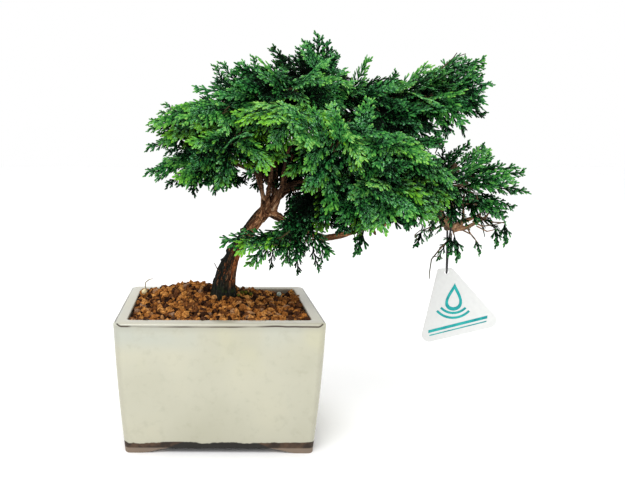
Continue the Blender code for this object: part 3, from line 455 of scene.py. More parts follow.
class Finish:
    """A material and the few ways in which its nodes are joined."""

    def __init__(self, name, roughness, **settings):
        self.material = bpy.data.materials.new(name)
        self.material.use_nodes = True
        self.tree = self.material.node_tree
        self.shader = self.tree.nodes["Principled BSDF"]
        self.shader.inputs["Roughness"].default_value = roughness
        for socket, value in settings.items():
            self.shader.inputs[socket.replace("_", " ")].default_value = value
        self.place = self.node("ShaderNodeTexCoord").outputs["Object"]

    def node(self, kind, inputs=None, **settings):
        return tree_node(self.tree, kind, inputs, **settings)

    def noise(self, scale, detail=3.0, roughness=0.55, source=None):
        inputs = {"Vector": source or self.place, "Scale": scale, "Detail": detail, "Roughness": roughness}
        return self.node("ShaderNodeTexNoise", inputs).outputs["Fac"]

    def cells(self, scale):
        inputs = {"Vector": self.place, "Scale": scale}
        return self.node("ShaderNodeTexVoronoi", inputs).outputs["Distance"]

    def ramp(self, value, *stops):
        made = self.node("ShaderNodeValToRGB", {"Fac": value})
        band = made.color_ramp
        while len(band.elements) < len(stops):
            band.elements.new(0.5)
        for element, (place, colour) in zip(band.elements, stops):
            element.position = place
            element.color = colour
        return made.outputs["Color"]

    def step(self, value, low, high, low_to=0.0, high_to=1.0):
        """A smooth step between two outputs, while the value goes from low to high."""
        inputs = {"Value": value, "From Min": low, "From Max": high, "To Min": low_to, "To Max": high_to}
        made = self.node("ShaderNodeMapRange", inputs, interpolation_type="SMOOTHSTEP")
        return made.outputs["Result"]

    def maths(self, operation, first, second=0.0):
        return self.node("ShaderNodeMath", {0: first, 1: second}, operation=operation).outputs["Value"]

    def plus(self, first, second):
        return self.maths("ADD", first, second)

    def less(self, first, second):
        return self.maths("SUBTRACT", first, second)

    def times(self, first, second):
        return self.maths("MULTIPLY", first, second)

    def mix(self, share, first, second, blend="MIX"):
        """A blend of two colours, fed to the sockets that the mix node keeps for colours."""
        inputs = {0: share, 6: first, 7: second}
        return self.node("ShaderNodeMix", inputs, data_type="RGBA", blend_type=blend).outputs[2]

    def tinted(self, colour, tint):
        return self.mix(1.0, colour, tint, "MULTIPLY")

    def attribute(self, name, output="Fac"):
        return self.node("ShaderNodeAttribute", attribute_name=name).outputs[output]

    def split(self, source=None):
        return self.node("ShaderNodeSeparateXYZ", {"Vector": source or self.place}).outputs

    def colour(self, value):
        feed(self.tree, self.shader.inputs["Base Color"], value)

    def roughness(self, value):
        feed(self.tree, self.shader.inputs["Roughness"], value)

    def bump(self, height, distance, strength=1.0):
        made = self.node("ShaderNodeBump", {"Height": height, "Distance": distance, "Strength": strength})
        feed(self.tree, self.shader.inputs["Normal"], made.outputs["Normal"])


def foliage_finish():
    """Scale leaves: painted shade near black inside and at leaf bases, green outside, yellow-green at fresh
    tips, pale specks of waxy bloom and painted glints.
    """
    leaf = Finish("cypress scale leaves", 0.5, Specular_IOR_Level=0.03)
    tone, fresh, tip = leaf.attribute("tone"), leaf.attribute("fresh"), leaf.attribute("tip")
    mottle = leaf.step(leaf.noise(520.0, 2.0), 0.3, 0.7, -0.24, 0.24)
    # Painted shade and light: each leaf darker at its base and lighter towards its tip
    lit = leaf.plus(leaf.plus(tone, mottle), leaf.step(tip, 0.0, 1.0, -0.32, 0.22))
    green = leaf.ramp(lit, (0.0, linear(0, 3, 0)), (0.25, linear(2, 28, 9)), (0.50, linear(38, 100, 44)),
                      (0.75, linear(80, 150, 62)), (1.0, linear(140, 192, 94)))
    old = leaf.times(leaf.step(fresh, 0.30, 0.0), 0.45)
    green = leaf.mix(old, green, leaf.tinted(green, (0.80, 1.0, 1.35, 1.0)))
    edge = leaf.step(leaf.times(tip, fresh), 0.30, 0.95, 0.0, 0.85)
    green = leaf.mix(edge, green, linear(124, 188, 34))
    # Pale specks, partly waxy bloom and partly painted glints, stronger where the leaf is painted lighter
    flecks, drifts = leaf.noise(1300.0, 1.0), leaf.noise(70.0, 2.0)
    bloom_and_glints = leaf.times(leaf.step(flecks, 0.54, 0.68), leaf.step(drifts, 0.40, 0.58))
    bloom_and_glints = leaf.times(bloom_and_glints, leaf.step(lit, 0.22, 0.50, 0.05, 0.62))
    leaf.colour(leaf.mix(bloom_and_glints, green, linear(158, 206, 178)))
    leaf.bump(leaf.cells(1500.0), 0.00015, 0.5)
    return leaf.material


def bark_finish():
    """Fibrous red-brown bark in flaking plates, mossy at the foot, with painted shade near black on the trunk's
    left side and on the stems above the fork, and painted light on the upper trunk.
    """
    bark = Finish("fibrous bark", 0.85, Specular_IOR_Level=0.10)
    fibres = bark.attribute("fibres", "Vector")
    height = bark.split()["Z"]
    streak = bark.noise(700.0, 6.0, 0.7, source=fibres)
    plates = bark.noise(210.0, 3.0, 0.5, source=fibres)
    brown = bark.ramp(streak, (0.30, linear(26, 15, 10)), (0.45, linear(96, 62, 42)),
                      (0.57, linear(170, 124, 88)), (0.70, linear(228, 202, 170)))
    brown = bark.mix(bark.step(plates, 0.52, 0.40, 0.0, 0.75), brown, linear(28, 16, 10))
    rust = bark.times(bark.step(height, 0.152, 0.144), bark.step(plates, 0.40, 0.52))
    brown = bark.mix(rust, brown, bark.tinted(brown, linear(240, 194, 158)))
    trunk = bark.step(height, 0.182, 0.172)
    # Painted shade: the trunk's side that faces left goes near black
    left_shade = painted_left_shade(bark, height, plates, trunk)
    dark = bark.ramp(streak, (0.35, linear(8, 10, 8)), (0.60, linear(34, 36, 30)), (0.80, linear(96, 98, 86)))
    foot = bark.step(bark.plus(height, bark.times(plates, 0.012)), 0.128, 0.118)
    skin = bark.mix(bark.maths("MAXIMUM", left_shade, foot), brown, dark)
    # Painted light: the upper trunk's other side tinted brighter
    sunny = bark.less(bark.times(bark.step(height, 0.146, 0.156), trunk), left_shade)
    skin = bark.mix(bark.times(sunny, 0.75), skin, bark.tinted(skin, (2.1, 2.0, 1.9, 1.0)))
    # Painted shade: the stems above the fork darker, under the crown
    high = bark.times(bark.step(height, 0.178, 0.195), 0.60)
    skin = bark.mix(high, skin, linear(26, 17, 12))
    twig = bark.attribute("twig")
    skin = bark.mix(bark.times(twig, 0.85), skin, linear(70, 66, 42))
    far = bark.times(bark.step(bark.split()["X"], 0.060, 0.072), bark.step(streak, 0.40, 0.60, 0.25, 0.65))
    skin = bark.mix(bark.times(far, bark.less(1.0, twig)), skin, linear(132, 114, 92))
    moss = bark.times(bark.step(height, 0.121, 0.108), bark.step(bark.noise(260.0, 4.0), 0.5, 0.62))
    bark.colour(bark.mix(moss, skin, linear(40, 52, 24)))
    bark.bump(bark.plus(streak, plates), 0.0008, 0.9)
    return bark.material


def painted_left_shade(bark, height, plates, trunk):
    """How much painted shade the trunk's bark gets: on the side that faces left, and further round it lower
    down.
    """
    side = bark.split(bark.node("ShaderNodeNewGeometry").outputs["Normal"])["X"]
    reach = bark.step(height, 0.160, 0.140, -0.42, 0.0)
    turned_left = bark.less(bark.plus(reach, bark.times(plates, 0.5)), side)
    return bark.times(bark.step(turned_left, 0.15, 0.40), trunk)


def grain_finish():
    """Fired clay grains, each its own brown, with a pitted crumbly skin."""
    clay = Finish("fired clay grains", 0.95, Specular_IOR_Level=0.08)
    own = clay.attribute("own")
    base = clay.ramp(own, (0.0, linear(40, 22, 12)), (0.22, linear(84, 52, 32)), (0.42, linear(146, 92, 46)),
                     (0.70, linear(190, 124, 58)), (0.90, linear(220, 156, 84)), (1.0, linear(150, 120, 98)))
    crumb = clay.noise(620.0, 5.0, 0.7)
    pits = clay.step(crumb, 0.58, 0.40, 0.0, 0.8)
    clay.colour(clay.mix(pits, base, clay.tinted(base, linear(120, 100, 88))))
    clay.bump(clay.noise(1100.0, 4.0, 0.7), 0.0007, 1.0)
    return clay.material


def glaze_finish():
    """Celadon: blue-grey clouds under the lip, a thin brown line where it breaks, brown clay at the foot, with
    painted shade at the corners, inside, under the lip and between the feet, and a painted reflection low on
    the feet.
    """
    glaze = Finish("celadon glaze and clay foot", GLAZE_ROUGHNESS, Specular_IOR_Level=0.4, Coat_Weight=0.15,
                   Coat_Roughness=0.1)
    height = glaze.split()["Z"]
    across = glaze.maths("ABSOLUTE", glaze.less(glaze.split()["X"], POT_PLACE.x))
    body, line = glaze_lip(glaze, height, across, glaze_body(glaze, height))
    runs = glaze.plus(height, glaze.step(glaze.noise(42.0, 4.0, 0.65), 0.35, 0.75, -0.0006, 0.0014))
    bare = glaze.step(runs, CLAY_LINE + 0.0004, CLAY_LINE - 0.0004)
    glaze.colour(glaze.mix(bare, body, foot_clay(glaze, height, across)))
    glaze.roughness(glaze.step(bare, 0.0, 1.0, GLAZE_ROUGHNESS, CLAY_ROUGHNESS))
    glaze.bump(glaze.less(glaze.noise(38.0, 3.0, 0.5), line), 0.0009, 0.3)
    return glaze.material


def glaze_body(glaze, height):
    """The walls: pale celadon, pooled blue-grey and cream towards the top, specked, with painted shade at the
    upright corners and on the inner walls.
    """
    cloud = glaze.noise(14.0, 3.0, 0.5)
    body = glaze.ramp(cloud, (0.30, linear(190, 189, 168)), (0.50, linear(198, 197, 177)),
                      (0.72, linear(206, 204, 181)))
    pooled = glaze.times(glaze.step(height, 0.076, 0.092), glaze.step(cloud, 0.40, 0.58))
    body = glaze.mix(glaze.times(pooled, 0.6), body, linear(184, 191, 184))
    cream = glaze.times(glaze.step(glaze.noise(22.0, 2.0, 0.5), 0.50, 0.66), glaze.step(height, 0.055, 0.080))
    body = glaze.mix(glaze.times(cream, 0.45), body, linear(203, 201, 168))
    grey = glaze.step(glaze.noise(160.0, 4.0, 0.6), 0.50, 0.75, 0.0, 0.22)
    body = glaze.mix(grey, body, linear(160, 156, 136))
    dots, patches = glaze.cells(62.0), glaze.noise(40.0, 1.0)
    specks = glaze.times(glaze.step(dots, 0.045, 0.02), glaze.step(patches, 0.60, 0.64))
    body = glaze.mix(specks, body, linear(96, 78, 58))
    # Painted shade: darker at the upright corners and on the inner walls
    body = glaze.mix(glaze.times(glaze.attribute("upright"), 0.5), body, linear(120, 112, 98))
    return glaze.mix(glaze.attribute("inner"), body, linear(120, 116, 104))


def glaze_lip(glaze, height, across, body):
    """The walls' colour with the lip on it and a band of painted shade just under it, and the brown line where
    the glaze breaks.
    """
    ends = glaze.step(across, 0.0695, 0.0760, 0.0, 0.0026)
    level = glaze.less(glaze.less(height, ends), glaze.times(glaze.noise(26.0), 0.0022))
    under = glaze.step(level, LIP_LINE - 0.0063, LIP_LINE)
    lip = glaze.step(level, LIP_LINE + 0.0004, LIP_LINE + 0.0016)
    # Painted shade: a band just under the lip line
    body = glaze.mix(glaze.times(under, 0.35), body, linear(150, 147, 134))
    body = glaze.mix(glaze.times(lip, 0.75), body, linear(182, 178, 162))
    lower = glaze.step(level, LIP_LINE - 0.0008, LIP_LINE)
    upper = glaze.step(level, LIP_LINE + 0.0003, LIP_LINE + 0.0012)
    broken = glaze.step(glaze.noise(17.0, 2.0), 0.40, 0.56, 0.35, 1.0)
    broken = glaze.maths("MAXIMUM", broken, glaze.step(across, 0.060, 0.066))
    line = glaze.times(glaze.times(glaze.less(lower, upper), broken), glaze.attribute("outer"))
    return glaze.mix(line, body, linear(58, 44, 34)), line


def foot_clay(glaze, height, across):
    """Bare brown clay, with a painted reflection making it paler low on the feet, and painted shade making it
    nearly black between them.
    """
    clay = glaze.mix(glaze.step(glaze.noise(90.0, 4.0), 0.4, 0.62), linear(40, 29, 20), linear(80, 60, 44))
    # Painted reflection: paler low on the feet
    clay = glaze.mix(glaze.times(glaze.step(height, 0.0048, 0.0036), 0.75), clay, linear(140, 124, 108))
    # Painted shade: nearly black between the feet, where the gap under the arch lies
    between = glaze.step(glaze.plus(across, glaze.times(height, 2.1)), 0.0480, 0.0455)
    return glaze.mix(between, clay, linear(30, 28, 24))


def label_finish():
    """White plastic, faintly scuffed."""
    plastic = Finish("white label sheet", 0.42, Specular_IOR_Level=0.3)
    scuff = plastic.noise(300.0, 4.0, 0.6)
    plastic.colour(plastic.ramp(scuff, (0.3, linear(215, 216, 214)), (0.7, linear(221, 222, 220))))
    plastic.roughness(plastic.step(scuff, 0.3, 0.7, 0.36, 0.5))
    plastic.bump(plastic.noise(90.0, 2.0), 0.0002, 0.2)
    return plastic.material


def print_finish():
    """Teal ink, a little uneven."""
    ink = Finish("teal print", 0.5, Specular_IOR_Level=0.2)
    ink.colour(ink.ramp(ink.noise(160.0, 3.0), (0.35, linear(14, 140, 144)), (0.65, linear(44, 172, 168))))
    return ink.material


def plain_finish(name, first, second, scale):
    """A rough finish mottled between two paint colours."""
    finish = Finish(name, 0.85, Specular_IOR_Level=0.1)
    finish.colour(finish.ramp(finish.noise(scale, 4.0), (0.35, linear(*first)), (0.65, linear(*second))))
    finish.bump(finish.noise(scale * 2), 0.0003, 0.6)
    return finish.material


def dark_plastic_finish(name):
    """Moulded black plastic."""
    plastic = Finish(name, 0.45, Specular_IOR_Level=0.4)
    mottle = plastic.noise(600.0, 3.0)
    plastic.colour(plastic.ramp(mottle, (0.3, linear(26, 26, 27)), (0.7, linear(46, 46, 48))))
    plastic.bump(plastic.noise(900.0, 3.0), 0.0002, 0.3)
    return plastic.material


# Meshes and pieces

def mesh_of(name, bm):
    mesh = bpy.data.meshes.new(name)
    bm.to_mesh(mesh)
    bm.free()
    return mesh


def object_of(name, mesh, collection=None):
    made = bpy.data.objects.new(name, mesh)
    (collection or bpy.context.scene.collection).objects.link(made)
    return made


def coat(mesh, material):
    """Gives a mesh one finish, in place of what it had."""
    mesh.materials.clear()
    mesh.materials.append(material)


def store(mesh, name, values, kind="FLOAT"):
    """Keeps a value for each point of a mesh under a name that materials and nodes can read."""
    layer = mesh.attributes.new(name, kind, "POINT")
    if kind == "FLOAT_VECTOR":
        layer.data.foreach_set("vector", [c for value in values for c in value])
    else:
        layer.data.foreach_set("value", values)


def evaluated_mesh(holder):
    """The plain mesh of an object with its modifiers on, and the object removed."""
    graph = bpy.context.evaluated_depsgraph_get()
    shaped = holder.evaluated_get(graph)
    mesh = bpy.data.meshes.new_from_object(shaped, preserve_all_data_layers=True, depsgraph=graph)
    bpy.data.objects.remove(holder)
    return mesh


def finished(name, mesh, slot, *nodes):
    """Makes a piece of the tree, riding with it, in place of the CAD nodes named."""
    piece = object_of(name, mesh)
    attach(piece, "root")
    if nodes:
        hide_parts(*nodes)


def merged_copy(node):
    """A CAD node's mesh, copied and with its loose triangles joined."""
    bm = bmesh.new()
    bm.from_mesh(frame["nodes"][node].data)
    bmesh.ops.remove_doubles(bm, verts=bm.verts, dist=0.02 * MM)
    return bm


def skinned(bm, rings, closed=False):
    """Faces from each ring of points to the next, then on to the first ring, or a cap at either end."""
    after_rings = rings[1:] + rings[:1] if closed else rings[1:]
    for low, high in zip(rings, after_rings):
        for k in range(len(low)):
            after = (k + 1) % len(low)
            bm.faces.new((low[k], low[after], high[after], high[k]))
    if not closed:
        bm.faces.new(rings[0][::-1])
        bm.faces.new(rings[-1])


def tube(bm, places, radii, sides):
    """A closed tube through a few points."""
    rings = []
    for number, (place, radius) in enumerate(zip(places, radii)):
        along = places[min(number + 1, len(places) - 1)] - places[max(number - 1, 0)]
        across = along.cross(Vector((0.3, 1.0, 0.2))).normalized()
        over = along.cross(across).normalized()
        ring = []
        for k in range(sides):
            turn = math.tau * k / sides
            ring.append(bm.verts.new(place + (across * math.cos(turn) + over * math.sin(turn)) * radius))
        rings.append(ring)
    skinned(bm, rings)


def stem(bm, places, radii, sides):
    """A tube through places of the potting plan."""
    tube(bm, [planned(*place) for place in places], [radius * MM for radius in radii], sides)


# Trees of nodes

def new_tree(name, inputs):
    """An empty tree with named inputs, and its first and last sockets."""
    tree = bpy.data.node_groups.new(name, "GeometryNodeTree")
    tree.is_modifier = True
    tree.interface.new_socket("Geometry", in_out="INPUT", socket_type="NodeSocketGeometry")
    tree.interface.new_socket("Geometry", in_out="OUTPUT", socket_type="NodeSocketGeometry")
    for label, kind in inputs:
        tree.interface.new_socket(label, in_out="INPUT", socket_type="NodeSocket" + kind)
    return tree, tree.nodes.new("NodeGroupInput").outputs, tree.nodes.new("NodeGroupOutput").inputs


def named(tree, name, kind="FLOAT"):
    made = tree_node(tree, "GeometryNodeInputNamedAttribute", {"Name": name}, data_type=kind)
    return made.outputs["Attribute"]


def kinds_in(tree, collection):
    """Each shape of a collection as an instance of its own."""
    inputs = {"Collection": collection, "Separate Children": True, "Reset Children": True}
    return tree_node(tree, "GeometryNodeCollectionInfo", inputs).outputs[0]


def random_share(tree, seed):
    """A share from 0 to 1 for each point."""
    return tree_node(tree, "FunctionNodeRandomValue", {2: 0.0, 3: 1.0, "Seed": seed}).outputs[1]


def coated(tree, geometry, material, out):
    """The tree, ended with its material."""
    made = tree_node(tree, "GeometryNodeSetMaterial", {"Geometry": geometry, "Material": material})
    tree.links.new(made.outputs[0], out["Geometry"])
    return tree


def grown(name, mesh, tree, values):
    """The mesh that a tree of nodes grows on another mesh."""
    holder = object_of(name, mesh)
    modifier = holder.modifiers.new("grow", "NODES")
    modifier.node_group = tree
    for item in tree.interface.items_tree:
        if item.item_type == "SOCKET" and item.in_out == "INPUT" and item.name in values:
            modifier[item.identifier] = values[item.name]
    return evaluated_mesh(holder)


def kinds_of(name, meshes):
    """A collection of shapes for a tree of nodes to pick from."""
    kinds = bpy.data.collections.new(name + " kinds")
    for index, mesh in enumerate(meshes):
        object_of(f"{name}_{index}", mesh, kinds)
    return kinds


def remove_kinds(kinds):
    for item in list(kinds.objects):
        bpy.data.objects.remove(item)
    bpy.data.collections.remove(kinds)


# Foliage

def add_leaf(bm, layer, root, along, side, length, width, thick, tips):
    """One flat blunt finger of scale leaves, closed: a narrow root, a wider shoulder, and a point."""
    up = along.cross(side).normalized()
    rings = []
    for share, half, tip in ((0.0, 0.38, tips[0]), (LEAF_SHOULDER, 0.5, (tips[0] + tips[1]) / 2)):
        middle = root + along * length * share
        across = side * width * half
        places = (middle + across, middle + up * thick * 0.7, middle - across)
        rings.append([bm.verts.new(place) for place in places])
        for vert in rings[-1]:
            vert[layer] = tip
    end = bm.verts.new(root + along * length)
    end[layer] = tips[1]
    low, high = rings
    bm.faces.new(low[::-1])
    for k in range(3):
        after = (k + 1) % 3
        bm.faces.new((low[k], low[after], high[after], high[k]))
        bm.faces.new((high[k], high[after], end))


def turned(direction, angle):
    return (Matrix.Rotation(angle, 3, "Z") @ direction).normalized()


def add_finger(bm, layer, rng, root, along, reach, sign, share, blade):
    """A branchlet of a spray: its stalk, blunt leaves by turns along it, and the one at its end."""
    side = UP.cross(along).normalized()
    add_leaf(bm, layer, root, along, side, reach, blade * 0.85, 0.8, (0.1, 0.6))
    leaves = max(1 if blade < THIN_BLADE else 2, round(reach / LEAF_PITCH))
    for count in range(leaves):
        place = (count + 0.45) / (leaves + 0.3)
        turn = sign * (1 if count % 2 else -1)
        leaf_along = turned(along, turn * math.radians(rng.uniform(17, 27)))
        leaf_side = UP.cross(leaf_along).normalized()
        length = (LEAF_LENGTH - LEAF_LOSS * place) * min(1.0, 0.45 + reach / 15) * rng.uniform(0.85, 1.15)
        tip = 0.20 + 0.55 * max(place, share)
        add_leaf(bm, layer, root + along * reach * place * 0.86, leaf_along, leaf_side, length, blade, 1.0,
                 (tip - 0.2, tip + 0.15))
    add_leaf(bm, layer, root + along * reach * 0.72, along, side, END_LEAF, blade + 0.1, 1.0, (0.5, 1.0))


def spray_mesh(spray, index):
    """A flat cypress spray along +X: a rib, branchlets at narrow angles by turns, and three end leaves."""
    rng = random.Random(SEED * 100 + index)
    bm = bmesh.new()
    layer = bm.verts.layers.float.new("tip")
    forward, left = Vector((1, 0, 0)), Vector((0, 1, 0))
    rib = 1.5 if spray.branchlets > 8 else 1.2
    add_leaf(bm, layer, Vector((0, 0, 0)), forward, left, spray.length * 0.62, rib, 0.9, (0.0, 0.1))
    halfway = Vector((spray.length * 0.42, 0, 0))
    add_leaf(bm, layer, halfway, forward, left, spray.length * 0.56, rib, 0.8, (0.1, 0.7))
    for number in range(spray.branchlets):
        share = 0.08 + 0.82 * number / (spray.branchlets - 1)
        sign = 1 if number % 2 else -1
        reach = spray.length * spray.spread * (1.08 - 0.72 * share) * rng.uniform(0.82, 1.16)
        reach *= 0.66 + 0.34 * min(1.0, share / 0.24)
        along = turned(forward, sign * math.radians(spray.fan - 17 * share + rng.uniform(-6, 6)))
        along.z = rng.uniform(-0.18, 0.18)
        along.normalize()
        root = Vector((share * spray.length, 0, rng.uniform(-0.5, 0.5)))
        add_finger(bm, layer, rng, root, along, reach, sign, share, spray.blade)
    end = Vector((spray.length * 0.92, 0, 0))
    for turn, length in ((0.4, 4.6), (-0.4, 4.4), (0.0, 5.6)):
        along = turned(forward, turn)
        add_leaf(bm, layer, end, along, UP.cross(along), length, spray.blade, 0.9, (0.6, 1.0))
    for vert in bm.verts:
        x, y = vert.co.x / spray.length, vert.co.y / spray.length
        vert.co.z -= spray.length * (spray.droop * x * x + spray.cup * 2.2 * y * y)
        vert.co.y += spray.length * spray.curl * x * x
    bmesh.ops.scale(bm, verts=bm.verts, vec=(MM, MM, MM))
    return mesh_of(f"spray_{index}", bm)


def wrapped(angle):
    return (angle + 180.0) % 360.0 - 180.0


def within(place, centre, size):
    """Whether a point is in the egg of the given middle and half sizes."""
    off = (place - planned(*centre)) / MM
    return sum((along / half) ** 2 for along, half in zip(off, size)) < 1


def pad_sprays(pad, index):
    """Where and how each spray of a pad is set. Its draws come before the test for open air."""
    rng = random.Random(SEED * 1000 + index)
    a, b, c = pad.size
    far = pad.name.startswith("far")
    fill, kinds = (FAR_FILL, FAR_KINDS) if far else (1.0, PAD_KINDS)
    count = round(SPRAYS_PER_AREA * fill * (a * b + (a + b) * c))
    front = 1.0 if pad.place[1] > 30 else -1.0
    golden = math.pi * (3 - math.sqrt(5))
    middle = planned(*pad.place)
    rows = []
    for number in range(count):
        height = 1 - 2 * (number + 0.5) / count
        ring = math.sqrt(1 - height * height)
        turn = golden * number + index
        share = 0.30 + 0.66 * rng.random() ** 0.55
        unit = Vector((ring * math.cos(turn), ring * math.sin(turn), height)) * share
        at = Vector((unit.x * a, unit.y * b, unit.z * c))
        if within(middle + at * MM, *RECESS):
            continue
        swing = wrapped(math.degrees(math.atan2(at.y, at.x)) - pad.heading)
        swing = max(-WIDEST_SWING, min(WIDEST_SWING, swing))
        bearing = math.radians(pad.heading + swing * 0.72 + rng.uniform(-16, 16))
        climb = math.radians(pad.lift + 34 * unit.z + rng.uniform(-14, 14))
        level = math.cos(climb)
        along = Vector((math.cos(bearing) * level, math.sin(bearing) * level, math.sin(climb)))
        tilt = rng.uniform(0.35, 1.0) + 1.1 * max(0.0, front * unit.y)
        up = Vector((rng.uniform(-0.3, 0.3), front * tilt, 1.0)) + along * 0.2
        size = rng.uniform(0.78, 1.08) * min(1.0, 0.58 + max(a, b) / 80)
        # Painted shade and light: sprays deep in a pad darker, high ones lighter, on top of a random tone
        tone = pad.tone - 0.30 * (1 - share) + 0.10 * unit.z + rng.uniform(-0.16, 0.20)
        fresh = max(0.0, pad.fresh + rng.uniform(-0.50, 0.45) - 0.3 * (1 - share))
        root = middle + (at - along * size * SPRAY_BACK) * MM
        row = Placed(root, along, up, size, tone, fresh, rng.choice(kinds))
        tip = middle + (at + along * size * SPRAY_AHEAD) * MM
        if not any(within(tip, *space) for space in OPEN_AIR):
            rows.append(row)
    return rows


def lone_sprays():
    rows = []
    for lone in LONE_SPRAYS:
        root, tip = planned(*lone.root), planned(*lone.tip)
        along = (tip - root).normalized()
        size = (tip - root).length / (SPRAYS[lone.kind].length * LONE_LENGTH * MM)
        rows.append(Placed(root, along, Vector((0.1, -1.0, 0.9)), size, lone.tone, lone.fresh, lone.kind))
    return rows


def shaded(groups):
    """The same rows, each spray darker the more others stand over it."""
    middles = [row.root + row.along * row.size * SPRAY_MIDDLE * MM for rows in groups for row in rows]
    near = KDTree(len(middles))
    for index, place in enumerate(middles):
        near.insert(place, index)
    near.balance()
    result, index = [], 0
    for rows in groups:
        darker = []
        for row in rows:
            place = middles[index]
            front = 0.6 if place.y > POT_PLACE.y + 30 * MM else -0.6
            sky = Vector((0.0, front, 0.8))
            over = sum(1 for other, _, gap in near.find_range(place, SHADE_REACH * MM)
                       if gap > 0 and (other - place).normalized().dot(sky) > 0.35)
            darker.append(row._replace(tone=row.tone + 0.03 - SHADE_SHARE * min(1.0, over / SHADE_CROWD)))
            index += 1
        result.append(darker)
    return result


def facing(along, up):
    """The turn that lays a spray along one direction with its upper face another way."""
    z = (up - along * up.dot(along)).normalized()
    y = z.cross(along)
    return Matrix((along, y, z)).transposed().to_euler()


def points_mesh(name, rows):
    """One point for each spray's root, with what its spray needs to know."""
    mesh = bpy.data.meshes.new(name)
    mesh.from_pydata([row.root for row in rows], [], [])
    store(mesh, "turn", [facing(row.along, row.up) for row in rows], "FLOAT_VECTOR")
    for label in ("size", "tone", "fresh"):
        store(mesh, label, [getattr(row, label) for row in rows])
    store(mesh, "kind", [row.kind for row in rows], "INT")
    return mesh


def spray_tree():
    """The nodes that set a pad's sprays on its points."""
    inputs = (("Sprays", "Collection"), ("Leaf", "Material"), ("Sway", "Float"), ("Seed", "Int"))
    tree, given, out = new_tree("sprays on a pad", inputs)
    turn = tree_node(tree, "FunctionNodeEulerToRotation", {"Euler": named(tree, "turn", "FLOAT_VECTOR")})
    put = tree_node(tree, "GeometryNodeInstanceOnPoints", {
        "Points": given["Geometry"], "Instance": kinds_in(tree, given["Sprays"]), "Pick Instance": True,
        "Instance Index": named(tree, "kind", "INT"), "Rotation": turn.outputs[0],
        "Scale": named(tree, "size")})
    lower = tree_node(tree, "ShaderNodeMath", {0: given["Sway"], 1: -1.0}, operation="MULTIPLY")
    ends = {"Min": lower.outputs[0], "Max": given["Sway"], "Seed": given["Seed"]}
    sway = tree_node(tree, "FunctionNodeRandomValue", ends, data_type="FLOAT_VECTOR")
    swayed = tree_node(tree, "GeometryNodeRotateInstances", {
        "Instances": put.outputs[0], "Rotation": sway.outputs[0], "Local Space": True})
    real = tree_node(tree, "GeometryNodeRealizeInstances", {"Geometry": swayed.outputs[0]})
    return coated(tree, real.outputs[0], given["Leaf"], out)


def add_foliage(material):
    kinds = kinds_of("spray", (spray_mesh(spray, index) for index, spray in enumerate(SPRAYS)))
    tree = spray_tree()
    names = [pad.name for pad in PADS] + ["lone"]
    groups = shaded([pad_sprays(pad, index) for index, pad in enumerate(PADS)] + [lone_sprays()])
    for index, (name, rows) in enumerate(zip(names, groups)):
        sway = LONE_SWAY if name == "lone" else PAD_SWAY
        values = {"Sprays": kinds, "Leaf": material, "Sway": sway, "Seed": SEED + index}
        mesh = grown(name + "_points", points_mesh(name, rows), tree, values)
        node = "foliage_" + name
        finished("sprays_" + name, mesh, "foliage", *([node] if node in frame["nodes"] else []))
    remove_kinds(kinds)


def branch(bm, start, end, radii):
    """A tapering twig that sags a little between two points."""
    thick, thin = (radius * MM for radius in radii)
    sag = Vector((0, 0, -0.10 * (end - start).length))
    if (end - start).length > SHORTEST_TWIG * MM:
        tube(bm, (start, start.lerp(end, 0.5) + sag, end), (thick, (thick + thin) / 2, thin), 4)


def add_twigs(material):
    """Branches from the limbs to each pad's heart, and thin twigs from there to the roots of its sprays."""
    bm = bmesh.new()
    for index, pad in enumerate(PADS):
        heart = planned(*pad.place)
        turn = math.radians(pad.heading)
        behind = heart - Vector((math.cos(turn), math.sin(turn), 0)) * BRANCH_BACK * MM
        if pad.name != "trunk_spray":
            branch(bm, nearest_limb(behind), heart, PAD_BRANCH)
        for row in pad_sprays(pad, index):
            branch(bm, heart, row.root, SPRAY_TWIG)
    for row in lone_sprays():
        near = nearest_limb(row.root)
        if (near - row.root).length < TWIG_REACH * MM:
            branch(bm, near, row.root, LONE_TWIG)
    for places, radii in BARE_TWIGS:
        stem(bm, places, radii, 6)
    mesh = mesh_of("twigs", bm)
    coat(mesh, material)
    set_fibres(mesh)
    finished("twigs", mesh, "bark")


# Wood

def limb_lines():
    """Points a millimetre apart along every limb, each with the limb's direction."""
    places, ways = [], []
    for limb in LIMBS:
        for first, second in zip(limb, limb[1:]):
            start, end = planned(*first), planned(*second)
            way = (end - start).normalized()
            for step in range(max(1, round((end - start).length / MM))):
                places.append(start + way * step * MM)
                ways.append(way)
    lines = KDTree(len(places))
    for index, place in enumerate(places):
        lines.insert(place, index)
    lines.balance()
    return lines, places, ways


LINES = limb_lines()


def nearest_limb(place):
    return LINES[0].find(place)[0]


def fibre_place(co):
    """A point drawn together along its limb, for patterns that run in fibres, and how far off it is."""
    lines, _, ways = LINES
    _, index, distance = lines.find(co)
    way = ways[index]
    return co - way * co.dot(way) * FIBRE_DRAW, distance


def set_fibres(mesh):
    """Keeps each point's fibre place, and a share that says how far it is out on a twig."""
    found = [fibre_place(vert.co) for vert in mesh.vertices]
    store(mesh, "fibres", [drawn for drawn, _ in found], "FLOAT_VECTOR")
    store(mesh, "twig", [min(1.0, max(0.0, (distance / MM - 12) / 6)) for _, distance in found])


def slimmed(co):
    """A point of the CAD wood: its foot stouter, its limbs slimmer, the trunk leant right and its foot left."""
    lines, places, ways = LINES
    _, index, _ = lines.find(co)
    off = co - places[index]
    if off.length > 5 * MM and within(co, *HIDDEN_TWIG):
        return places[index].copy()
    off -= ways[index] * off.dot(ways[index])
    z = co.z / MM
    slim = FOOT_STOUTNESS - (FOOT_STOUTNESS - LIMB_SLIMNESS) * rise(z, 128, 150)
    slim -= STEM_TAPER * rise(z, 172, 184)
    lean = TRUNK_LEAN * rise(z, 136, 160) * (1 - rise(z, 174, 192))
    lean -= FOOT_LEAN * (1 - rise(z, 128, 148))
    return co - off * (1 - slim) + Vector((lean, 0, 0)) * MM


